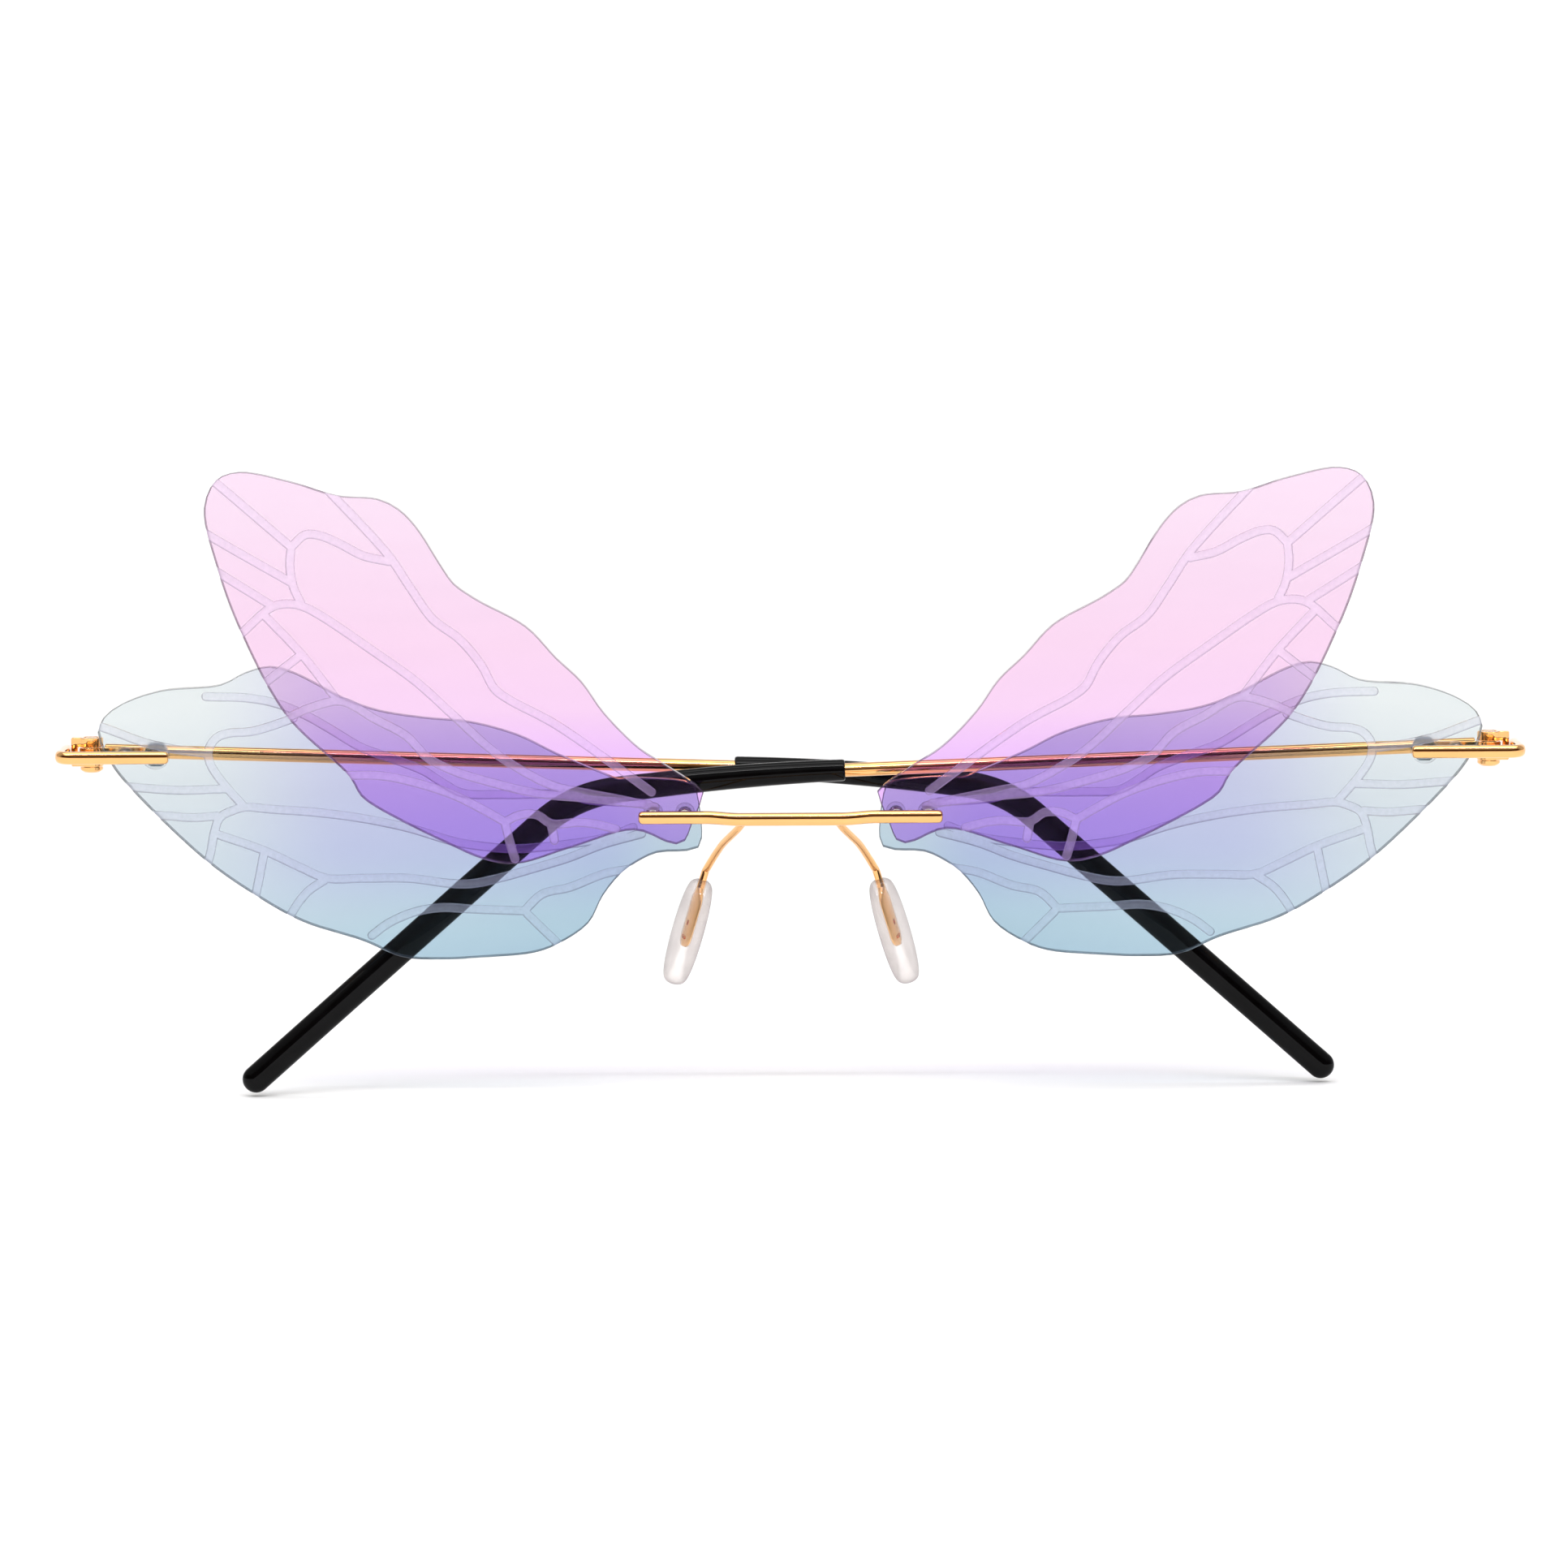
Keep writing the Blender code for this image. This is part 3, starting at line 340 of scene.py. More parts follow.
# Where the hindwing's inner patch fades in from its outer end, its nose end and its lower edge
PATCH_OUTER_FADE = (60 * mm, 43 * mm)
PATCH_NOSE_FADE = (10 * mm, 20 * mm)
PATCH_LOWER_FADE = (-11 * mm, -2 * mm)

# What a whole lens passes, from its lowest height to its highest, leaning outward; the hindwing's
# darkening toward its lower, inner part is partly its own tint and partly painted shadow
LENS_TINTS_AND_SHADOW = {
    "fore": {
        "low": 0.0, "high": 36 * mm, "lean": 0.0, "patch": None,
        "stops": [
            (0.0, (0.76, 0.46, 0.98)), (0.15, (0.82, 0.51, 0.97)), (0.32, (0.92, 0.65, 0.90)),
            (0.5, (0.94, 0.68, 0.88)), (0.85, (0.94, 0.74, 0.90)), (1.0, (0.93, 0.74, 0.90)),
        ],
    },
    "hind": {
        "low": -14 * mm, "high": 24 * mm, "lean": 0.2, "patch": (0.84, 0.80, 1.0),
        # Partly painted shadow: these stops darken toward the lower edge
        "stops": [
            (0.0, (0.29, 0.43, 0.54)), (0.25, (0.39, 0.53, 0.62)), (0.5, (0.53, 0.62, 0.69)),
            (0.7, (0.62, 0.69, 0.74)), (1.0, (0.80, 0.85, 0.86)),
        ],
    },
}

# How much of the tint's light each surface passes, and its frost and gloss; the groove walls and
# the rims pass less light and frost to a darker colour, painted shade for the light their slanted
# faces bend away
LENS_SURFACES = {
    "face": {"share": 1.0, "frost": 0.0, "frost_and_shade_colour": (1.0, 1.0, 1.0), "gloss": 0.004},
    "floor": {"share": 1.0, "frost": 0.3, "frost_and_shade_colour": (0.86, 0.84, 1.0), "gloss": 0.002},
    # Painted shade: the walls and the rim are dimmed, with a darker frost colour
    "wall": {"share": 0.84, "frost": 0.5, "frost_and_shade_colour": (0.58, 0.56, 0.66), "gloss": 0.03},
    "rim": {"share": 0.6, "frost": 0.2, "frost_and_shade_colour": (0.6, 0.56, 0.66), "gloss": 0.04},
}


def one_face(colour):
    """A whole lens's tint as each of its two faces passes it."""
    return tuple(c**0.5 for c in colour)


def lens_tint_and_shadow(nodes, links, tint, share):
    """A lens's tint by height, darkened by share, with the patch where the tint has one; on the
    hindwing, part of the darkening toward the bottom is painted shadow.
    """
    axes = place_axes(nodes, links)
    out = arithmetic(nodes, links, "ABSOLUTE", axes["X"])
    height = arithmetic(nodes, links, "MULTIPLY_ADD", out, tint["lean"], axes["Z"])
    stops = [
        (place, tuple(c * share for c in one_face(colour))) for place, colour in tint["stops"]
    ]
    colour = ramp(nodes, links, rise(nodes, links, height, tint["low"], tint["high"]), stops)
    if not tint["patch"]:
        return colour
    outer = rise(nodes, links, out, *PATCH_OUTER_FADE, "SMOOTHSTEP")
    nose = rise(nodes, links, out, *PATCH_NOSE_FADE, "SMOOTHSTEP")
    lower = rise(nodes, links, axes["Z"], *PATCH_LOWER_FADE, "SMOOTHSTEP")
    ends = arithmetic(nodes, links, "MULTIPLY", outer, nose)
    patch = arithmetic(nodes, links, "MULTIPLY", ends, lower)
    patch_colour = (*one_face(tint["patch"]), 1.0)
    return mix_colours(nodes, links, patch, colour, patch_colour, "MULTIPLY")


def clear_film(name, tint, finish):
    """Thin clear plastic: it passes light through its tint, with some frost that scatters it
    and a gloss."""
    mat, nodes, links = nodes_of(name)
    colour = lens_tint_and_shadow(nodes, links, tint, finish["share"])
    through = nodes.new("ShaderNodeBsdfTransparent")
    links.new(colour, through.inputs["Color"])
    surface = through.outputs[0]
    if finish["frost"]:
        frost_and_shade_colour = (*finish["frost_and_shade_colour"], 1.0)
        pale = mix_colours(nodes, links, 1.0, colour, frost_and_shade_colour, "MULTIPLY")
        scatter = nodes.new("ShaderNodeBsdfDiffuse")
        links.new(pale, scatter.inputs["Color"])
        glow = nodes.new("ShaderNodeBsdfTranslucent")
        links.new(pale, glow.inputs["Color"])
        frost = mix_shaders(nodes, links, FROST_GLOW, scatter.outputs[0], glow.outputs[0])
        grain = spread(
            nodes, links, noise(nodes, links, FROST_SCALE),
            finish["frost"] * (1 - FROST_SPREAD), finish["frost"] * (1 + FROST_SPREAD),
        )
        surface = mix_shaders(nodes, links, grain, surface, frost)
    show(nodes, links, coated(nodes, links, surface, finish["gloss"], FILM_ROUGHNESS))
    return mat


def metal(name, colour, roughness):
    """Polished metal with fine streaks in its gloss and faint unevenness in its colour."""
    mat, nodes, links = nodes_of(name)
    shader = node(nodes, "ShaderNodeBsdfPrincipled", Metallic=1.0)
    shader.inputs["Coat Weight"].default_value = METAL_COAT
    shader.inputs["Coat Roughness"].default_value = METAL_COAT_ROUGHNESS
    streaks = noise(nodes, links, METAL_STREAK_SCALE, METAL_STREAK_DETAIL)
    gloss = spread(nodes, links, streaks, roughness, roughness * METAL_STREAK)
    links.new(gloss, shader.inputs["Roughness"])
    duller = tuple(c * METAL_DULLER for c in colour)
    speckle = noise(nodes, links, METAL_TONE_SCALE)
    tone = ramp(nodes, links, speckle, [(0.3, duller), (0.7, colour)])
    links.new(tone, shader.inputs["Base Color"])
    show(nodes, links, shader.outputs[0])
    return mat


def gloss_black(name):
    """Glossy black plastic with faint unevenness in its shine."""
    mat, nodes, links = nodes_of(name)
    shader = node(nodes, "ShaderNodeBsdfPrincipled", IOR=BLACK_IOR)
    speckle = noise(nodes, links, BLACK_SCALE, BLACK_DETAIL)
    gloss = spread(nodes, links, speckle, *BLACK_ROUGHNESS)
    links.new(gloss, shader.inputs["Roughness"])
    links.new(ramp(nodes, links, speckle, BLACK_TONES), shader.inputs["Base Color"])
    show(nodes, links, shader.outputs[0])
    return mat


def soft_clear(name, colour, edge, body, roughness):
    """Clear moulded plastic or silicone: light passes in the middle and dims to the edge
    colour where the surface turns away, over a faint milky body."""
    mat, nodes, links = nodes_of(name)
    shader = node(nodes, "ShaderNodeBsdfPrincipled", Roughness=roughness, IOR=CLEAR_IOR)
    speckle = noise(nodes, links, CLEAR_SCALE)
    duller = tuple(c * CLEAR_DULLER for c in colour)
    tone = ramp(nodes, links, speckle, [(0.3, duller), (0.7, colour)])
    links.new(tone, shader.inputs["Base Color"])
    facing = node(nodes, "ShaderNodeLayerWeight", Blend=CLEAR_EDGE_BLEND).outputs["Facing"]
    slant = arithmetic(nodes, links, "MULTIPLY_ADD", speckle, CLEAR_EDGE_WAVER, facing)
    between = tuple((c + e) / 2 for c, e in zip(colour, edge))
    tint = ramp(nodes, links, slant, [(0.15, colour), (0.55, between), (0.95, edge)])
    through = nodes.new("ShaderNodeBsdfTransparent")
    links.new(tint, through.inputs["Color"])
    milky = mix_shaders(nodes, links, body, through.outputs[0], shader.outputs[0])
    show(nodes, links, coated(nodes, links, milky, CLEAR_SHINE, roughness))
    return mat


MATS = {
    # Painted light: a lighter copy of the gold for the arm's flattened blade, brightening it
    # inside the pad
    "painted_light_satin": metal("gold_painted_light_satin", (1.0, 0.60, 0.24), 0.38),
    "gold": metal("gold", (0.93, 0.50, 0.18), 0.06),
    "black": gloss_black("black_sleeve"),
    "silicone": soft_clear("silicone", (1.0, 0.98, 0.97), (0.50, 0.45, 0.45), 0.05, 0.05),
    "pocket": soft_clear("pocket", (1.0, 1.0, 1.0), (1.0, 0.95, 0.88), 0.0, 0.3),
    "clear": soft_clear("clear_plastic", (1.0, 1.0, 1.0), (0.75, 0.72, 0.78), 0.08, 0.1),
    "nut": soft_clear("nut_plastic", (0.42, 0.50, 0.56), (0.03, 0.05, 0.06), 0.12, 0.05),
}
for kind, tint in LENS_TINTS_AND_SHADOW.items():
    for part, finish in LENS_SURFACES.items():
        MATS[f"{kind}_{part}"] = clear_film(f"{kind}_{part}", tint, finish)


# ---------------------------------------------------------------- mesh helpers


def add_object(name, bm, mats):
    """Turns bm into a smooth-shaded object with sharp creases."""
    bmesh.ops.remove_doubles(bm, verts=bm.verts, dist=SAME_POINT)
    bmesh.ops.recalc_face_normals(bm, faces=bm.faces)
    mesh = bpy.data.meshes.new(name)
    bm.to_mesh(mesh)
    bm.free()
    mesh.shade_smooth()
    mesh.set_sharp_from_angle(angle=SHARP_ANGLE)
    obj = bpy.data.objects.new(name, mesh)
    bpy.context.scene.collection.objects.link(obj)
    for mat in mats:
        obj.data.materials.append(mat)
    return obj


def place_piece(obj, body, cad_name):
    """Makes obj a shown piece that rides on a body and stands for a CAD node."""
    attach(obj, body)
    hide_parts(cad_name)


def boolean(target, helper, operation):
    """Joins the helper to target, or cuts it away, for good."""
    change = target.modifiers.new(helper.name, "BOOLEAN")
    change.operation = operation
    change.solver = "EXACT"
    change.object = helper
    with bpy.context.temp_override(object=target, active_object=target):
        bpy.ops.object.modifier_apply(modifier=change.name)
    bpy.data.objects.remove(helper)


def join_in(target, bm, name, operation, mat=None):
    """Joins bm to target, or cuts it away; a cut's own faces may take mat."""
    if mat:
        target.data.materials.append(mat)
        for face in bm.faces:
            face.material_index = len(target.data.materials) - 1
    boolean(target, add_object(name, bm, list(target.data.materials)), operation)
    target.data.shade_smooth()
    target.data.set_sharp_from_angle(angle=SHARP_ANGLE)


def cad_shape(cad_name):
    """A CAD node's own shape, with its flat faces whole again."""
    bm = bmesh.new()
    bm.from_mesh(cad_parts[cad_name].data)
    bmesh.ops.remove_doubles(bm, verts=bm.verts, dist=CAD_SAME_POINT)
    bmesh.ops.dissolve_limit(
        bm, angle_limit=FLAT_ANGLE, verts=bm.verts, edges=bm.edges, delimit={"NORMAL"}
    )
    return bm


def ease_edges(bm, edges, offset, **options):
    bmesh.ops.bevel(
        bm, geom=edges, offset=offset, segments=2, affect="EDGES", clamp_overlap=True, **options
    )


def spline(points, step):
    """Points about step apart on a centripetal Catmull-Rom curve through the given ones."""
    knots = [Vector(point) for point in points]
    made = []
    for i in range(len(knots) - 1):
        p1, p2 = knots[i], knots[i + 1]
        p0 = knots[i - 1] if i else p1 * 2 - p2
        p3 = knots[i + 2] if i + 2 < len(knots) else p2 * 2 - p1
        d1, d2, d3 = ((b - a).length ** 0.5 for a, b in ((p0, p1), (p1, p2), (p2, p3)))
        m1 = (p1 - p0) * (d2 / d1) - (p2 - p0) * (d2 / (d1 + d2)) + (p2 - p1)
        m2 = (p2 - p1) - (p3 - p1) * (d2 / (d2 + d3)) + (p3 - p2) * (d2 / d3)
        pieces = max(1, round((p2 - p1).length / step))
        for k in range(pieces):
            t = k / pieces
            made.append(
                p1 * (2 * t**3 - 3 * t**2 + 1)
                + m1 * (t**3 - 2 * t**2 + t)
                + p2 * (3 * t**2 - 2 * t**3)
                + m2 * (t**3 - t**2)
            )
    return made + [knots[-1]]


def skin(bm, rows):
    """Joins rows of equally many vertices into one closed skin."""
    count = len(rows[0])
    for low, high in zip(rows, rows[1:]):
        for i in range(count):
            j = (i + 1) % count
            bm.faces.new((low[i], low[j], high[j], high[i]))
    bm.faces.new(reversed(rows[0]))
    bm.faces.new(rows[-1])


def swept(path, sections, across):
    """A skin over rings set square to the path; a section's first axis is nearest to across."""
    bm = bmesh.new()
    points = [Vector(point) for point in path]
    rows = []
    for i, point in enumerate(points):
        along = points[min(i + 1, len(points) - 1)] - points[max(i - 1, 0)]
        along.normalize()
        first = (across - along * across.dot(along)).normalized()
        second = along.cross(first)
        ring = [point + first * a + second * b for a, b in sections[i]]
        rows.append([bm.verts.new(corner) for corner in ring])
    skin(bm, rows)
    return bm


def oval(half_a, half_b, sides=ROUND_SIDES, power=2.0):
    """Points of an ellipse, or with a higher power a rounded rectangle."""
    points = []
    for i in range(sides):
        c, d = cos(2 * pi * i / sides), sin(2 * pi * i / sides)
        size = (abs(c) ** power + abs(d) ** power) ** (-1 / power)
        points.append((half_a * c * size, half_b * d * size))
    return points


def shaft(profile, place):
    """A round shaft turned from (radius, distance back) points, standing back from a place."""
    bm = bmesh.new()
    stand = place @ Matrix.Rotation(-pi / 2, 4, "X")
    rows = []
    for radius, height in profile:
        turns = [2 * pi * i / SHAFT_SIDES for i in range(SHAFT_SIDES)]
        ring = [(radius * cos(turn), radius * sin(turn), height) for turn in turns]
        rows.append([bm.verts.new(stand @ Vector(point)) for point in ring])
    skin(bm, rows)
    return bm


def rounded_ends(path, sections, reach, shrink, steps=5):
    """Rounds both ends of a sweep, over reach of its length, with rings down to 1 - shrink."""
    points = [Vector(point) for point in path]
    turns = [pi / 2 * (k + CAP_FIRST_RING) / steps for k in range(steps)]
    caps = []
    for tip, beyond, section in (
        (points[0], points[1], sections[0]), (points[-1], points[-2], sections[-1]),
    ):
        along = (beyond - tip).normalized()
        places = [tip + along * reach * (1 - cos(turn)) * CAP_REACH for turn in turns]
        sizes = [1 - shrink * (1 - sin(turn)) for turn in turns]
        caps.append((places, [[(a * size, b * size) for a, b in section] for size in sizes]))
    inner = [
        i for i, point in enumerate(points)
        if (point - points[0]).length > reach and (point - points[-1]).length > reach
    ]
    (first_places, first_rings), (last_places, last_rings) = caps
    places = first_places + [points[i] for i in inner] + last_places[::-1]
    rings = first_rings + [sections[i] for i in inner] + last_rings[::-1]
    return places, rings


# ---------------------------------------------------------------- lenses


def ribbon_outline(points, half):
    """A closed outline half wide on each side of the points, with round ends."""
    count = len(points)
    normals = []
    for i in range(count):
        along = points[min(i + 1, count - 1)] - points[max(i - 1, 0)]
        along = Vector((along.x, along.y)).normalized()
        normals.append(Vector((-along.y, along.x)))
    flat = [Vector((point.x, point.y)) for point in points]
    outline = [p + n * half for p, n in zip(flat, normals)]
    turns = [pi * k / GROOVE_END_STEPS for k in range(1, GROOVE_END_STEPS)]
    last = normals[-1]
    ahead = Vector((last.y, -last.x))
    outline += [flat[-1] + last * half * cos(t) + ahead * half * sin(t) for t in turns]
    outline += [p - n * half for p, n in zip(reversed(flat), reversed(normals))]
    first = -normals[0]
    back = Vector((first.y, -first.x))
    outline += [flat[0] + first * half * cos(t) + back * half * sin(t) for t in turns]
    return outline


def groove_cutter(path, front, side):
    """A channel with sloping walls round one vein, a little proud of the lens's front."""
    bm = bmesh.new()
    top = ribbon_outline(path, GROOVE_HALF_WIDTH + GROOVE_SLOPE * GROOVE_PROUD)
    floor = ribbon_outline(path, GROOVE_HALF_WIDTH - GROOVE_SLOPE)
    lift = GROOVE_PROUD * GROOVE_DEPTH
    upper = [bm.verts.new((side * p.x, front - lift, p.y)) for p in top]
    lower = [bm.verts.new((side * p.x, front + GROOVE_DEPTH, p.y)) for p in floor]
    count = len(upper)
    for i in range(count):
        j = (i + 1) % count
        bm.faces.new((upper[i], upper[j], lower[j], lower[i])).material_index = WALL
    bm.faces.new(reversed(upper)).material_index = WALL
    bm.faces.new(lower).material_index = FLOOR
    return bm


def make_lens(kind, name, side, inner, length, height, veins):
    """One engraved lens: the CAD lens's own shape, with its veins cut into the front."""
    cad_name = f"{kind}wing_{name}"
    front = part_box(cad_name)[0].y
    bm = cad_shape(cad_name)
    bm.normal_update()
    for face in bm.faces:
        if abs(face.normal.y) < EDGE_FACE_MOST:
            face.material_index = RIM
    corners = []
    for edge in bm.edges:
        if len(edge.link_faces) == 2:
            one, other = (face.normal for face in edge.link_faces)
            if abs(one.y) + abs(other.y) > CORNER_LEAST and abs(one.dot(other)) < CORNER_SQUARE:
                corners.append(edge)
    ease_edges(bm, corners, RIM_BEVEL, material=RIM)
    mats = [MATS[f"{kind}_{part}"] for part in LENS_SURFACES]
    lens = add_object(f"{kind}wing_lens_{name}", bm, mats)

    for number, vein in enumerate(veins):
        points = [(inner + u / 100 * length, POST_UP + v / 100 * height, 0) for u, v in vein]
        bm = groove_cutter(spline(points, GROOVE_STEP), front, side)
        boolean(lens, add_object(f"cutter_{kind}_{name}_{number}", bm, mats), "DIFFERENCE")
    lens.data.shade_smooth()
    lens.data.set_sharp_from_angle(angle=LENS_SHARP_ANGLE)
    for face in lens.data.polygons:
        face.use_smooth = face.material_index in (WALL, RIM)
    place_piece(lens, "front", cad_name)


for name, side in SIDES:
    make_lens(
        "fore", name, side, FOREWING_INNER, FOREWING_LENGTH, FOREWING_HEIGHT, FOREWING_VEINS
    )
    make_lens(
        "hind", name, side, HINDWING_INNER, HINDWING_LENGTH, HINDWING_HEIGHT, HINDWING_VEINS
    )

# ---------------------------------------------------------------- fittings


def make_bar():
    """The bridge bar with softly rounded edges and ends, and its posts."""
    bar_end, bar_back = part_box("bridge_bar")[1].x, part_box("bridge_bar")[1].y
    path = []
    for i in range(2 * BAR_STATIONS + 1):
        out = bar_end * (i - BAR_STATIONS) / BAR_STATIONS
        share = (abs(out) - BAR_FLAT_HALF) / (BAR_BEND_END - BAR_FLAT_HALF)
        share = min(1.0, max(0.0, share))
        ease = share * share * (3 - 2 * share)
        path.append((out, BAR_BOW * ease, BAR_HEIGHT / 2 + BAR_STEP * ease))
    section = oval(BAR_DEPTH / 2, BAR_HEIGHT / 2, FINE_SIDES, SQUARISH)
    places, rings = rounded_ends(path, [section] * len(path), BAR_ROUND, BAR_SHRINK)
    bar = add_object("bar", swept(places, rings, Vector((0, 1, 0))), [MATS["gold"]])
    profile = [(POST_RADIUS, BAR_BOW), (POST_RADIUS, bar_back - SHAFT_ROUND)]
    profile += [
        (POST_RADIUS - SHAFT_ROUND * (1 - cos(t)), bar_back - SHAFT_ROUND * (1 - sin(t)))
        for t in (radians(a) for a in (30, 60, 90))
    ]
    for side in (1, -1):
        for number, out in enumerate((INNER_POST, OUTER_POST)):
            bm = shaft(profile, Matrix.Translation((side * out, 0, POST_UP)))
            join_in(bar, bm, f"post_{side}_{number}", "UNION")
    place_piece(bar, "front", "bridge_bar")


def make_endpiece(name, side):
    """The end piece's bent bar with rounded edges, its stud and its pin."""
    low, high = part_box("endpiece_" + name)
    bend = ENDPIECE_BEND_RADIUS
    outer = max(abs(low.x), abs(high.x)) - ENDPIECE_THICKNESS / 2
    inner = min(abs(low.x), abs(high.x))
    front = low.y + ENDPIECE_THICKNESS / 2
    steps = ENDPIECE_FRONT_STEPS
    path = [(inner + (outer - bend - inner) * k / steps, front) for k in range(steps)]
    for k in range(ENDPIECE_BEND_STEPS + 1):
        turn = pi / 2 * k / ENDPIECE_BEND_STEPS
        path.append((outer - bend + bend * sin(turn), front + bend - bend * cos(turn)))
    steps, leg = ENDPIECE_LEG_STEPS, ENDPIECE_END - front - bend
    path += [(outer, front + bend + leg * k / steps) for k in range(1, steps + 1)]
    places = [(side * out, back, ENDPIECE_UP) for out, back in path]
    section = oval(ENDPIECE_HEIGHT / 2, ENDPIECE_THICKNESS / 2, FINE_SIDES, SQUARISH)
    places, rings = rounded_ends(
        places, [section] * len(places), ENDPIECE_ROUND, ENDPIECE_SHRINK
    )
    piece = add_object("end_bar_" + name, swept(places, rings, Vector((0, 0, 1))), [MATS["gold"]])
    for number, (out, radius, tail) in enumerate((
        (STUD_OUT, STUD_RADIUS, STUD_BACK), (PIN_OUT, PIN_RADIUS, PIN_BACK),
    )):
        profile = [(radius, front), (radius, tail - SHAFT_ROUND), (radius * SHAFT_TIP_SHARE, tail)]
        bm = shaft(profile, Matrix.Translation((side * out, 0, ENDPIECE_UP)))
        join_in(piece, bm, f"shaft_{name}_{number}", "UNION")
    place_piece(piece, "front", "endpiece_" + name)


def temple_points(stations, side):
    """Points of the temple's middle line at rest, at each distance from its hinge."""
    fine = np.linspace(0, TEMPLE_LENGTH, TEMPLE_STEPS)
    middle = (fine[1:] + fine[:-1]) / 2
    marks = [0, SLEEVE_START, EAR_BEND_START, EAR_BEND_END, TEMPLE_LENGTH]
    slope = np.interp(middle, marks, [WIRE_DROP, WIRE_DROP, SLEEVE_DROP, EAR_DROP, EAR_DROP])
    step = np.diff(fine)
    reach = np.concatenate([[0], np.cumsum(np.cos(slope) * step)])
    drop = np.concatenate([[0], np.cumsum(np.sin(slope) * step)])
    turn = Matrix.Rotation(REST_SPREAD if side < 0 else 0.0, 4, "Z")
    pivot = Matrix.Translation((side * HINGE_OUT, HINGE_BACK, ENDPIECE_UP)) @ turn
    made = []
    for along in stations:
        across, down = np.interp(along, fine, reach), np.interp(along, fine, drop)
        made.append(pivot @ Vector((-side * across, WIRE_OFFSET, -down)))
    return made, pivot.to_3x3() @ Vector((0, 1, 0))


def make_wire(name, side):
    """The temple's gold wire."""
    wire_end = TEMPLE_LENGTH - SLEEVE_END_WALL - WIRE_END_GAP
    path, across = temple_points(np.linspace(WIRE_START, wire_end, WIRE_STATIONS), side)
    sections = [oval(WIRE_RADIUS, WIRE_RADIUS)] * len(path)
    places, rings = rounded_ends(path, sections, WIRE_ROUND, WIRE_SHRINK)
    wire = add_object("wire_" + name, swept(places, rings, across), [MATS["gold"]])
    place_piece(wire, "temple_" + name, "temple_wire_" + name)


def make_sleeve(name, side):
    """The glossy sleeve, with its rolled mouth, round tip and bore."""
    stations = [SLEEVE_START + along for along, _ in SLEEVE_MOUTH]
    shrinks = [size for _, size in SLEEVE_MOUTH]
    dome_start = TEMPLE_LENGTH - SLEEVE_DOME
    stations += list(np.linspace(SLEEVE_START + SLEEVE_LEAD, dome_start, SLEEVE_STATIONS))
    shrinks += [1.0] * SLEEVE_STATIONS
    for k in range(1, SLEEVE_DOME_RINGS + 1):
        turn = pi / 2 * k / SLEEVE_DOME_TURNS
        stations.append(TEMPLE_LENGTH - SLEEVE_DOME * (1 - sin(turn)))
        shrinks.append(cos(turn))
    path, across = temple_points(stations, side)
    heights = np.interp(
        stations, [SLEEVE_START, EAR_BEND_AT], [SLEEVE_START_HALF_HEIGHT, SLEEVE_HALF_HEIGHT]
    )
    rings = [
        oval(SLEEVE_HALF_THICKNESS * shrink, height * shrink)
        for height, shrink in zip(heights, shrinks)
    ]
    sleeve = add_object("sleeve_" + name, swept(path, rings, across), [MATS["black"]])
    bore_start, bore_end = SLEEVE_START - SLEEVE_LEAD, TEMPLE_LENGTH - SLEEVE_END_WALL
    path, across = temple_points(np.linspace(bore_start, bore_end, SLEEVE_STATIONS), side)
    rings = [oval(SLEEVE_BORE_RADIUS, SLEEVE_BORE_RADIUS)] * len(path)
    join_in(sleeve, swept(path, rings, across), "sleeve_bore_" + name, "DIFFERENCE")
    place_piece(sleeve, "temple_" + name, "temple_tip_" + name)


def pad_axes(side):
    """Matrix of a nose pad: X fore and aft, Y outward, Z down its length, from its middle."""
    down = Vector((side * sin(PAD_LEAN), 0, -cos(PAD_LEAN)))
    outward = Vector((side * cos(PAD_LEAN), 0, sin(PAD_LEAN)))
    outward = outward * cos(PAD_SPLAY) + Vector((0, -1, 0)) * sin(PAD_SPLAY)
    aft = outward.cross(down)
    place = Vector((side * PAD_PLACE[0], PAD_PLACE[1], PAD_PLACE[2]))
    return Matrix.Translation(place) @ Matrix((aft, outward, down)).transposed().to_4x4()


def blade_shape(fit):
    """(place, half thickness, half width) down the arm's flattened end, grown by fit."""
    thin, wide = BLADE_THICKNESS / 2, BLADE_WIDTH / 2
    shares = [0.0, 0.04, 0.08, 0.12, 0.18, 0.25, 0.84, 0.9, 0.95, 0.98, 1.0]
    # The wire is pressed to its full flatness over the first quarter and rounded off at the end
    halves = np.interp(shares, [0, 0.12, 0.25, 0.95, 1], [
        ARM_RADIUS, thin * 1.15, thin, thin, thin * 0.8,
    ])
    wides = np.interp(shares, [0, 0.12, 0.18, 0.25, 0.84, 0.9, 0.95, 1], [
        ARM_RADIUS, wide * 0.75, wide * 0.93, wide, wide, wide * 0.93, wide * 0.75, wide * 0.35,
    ])
    return [
        (BLADE_TOP + share * BLADE_LENGTH, half + fit, width + fit)
        for share, half, width in zip(shares, halves, wides)
    ]


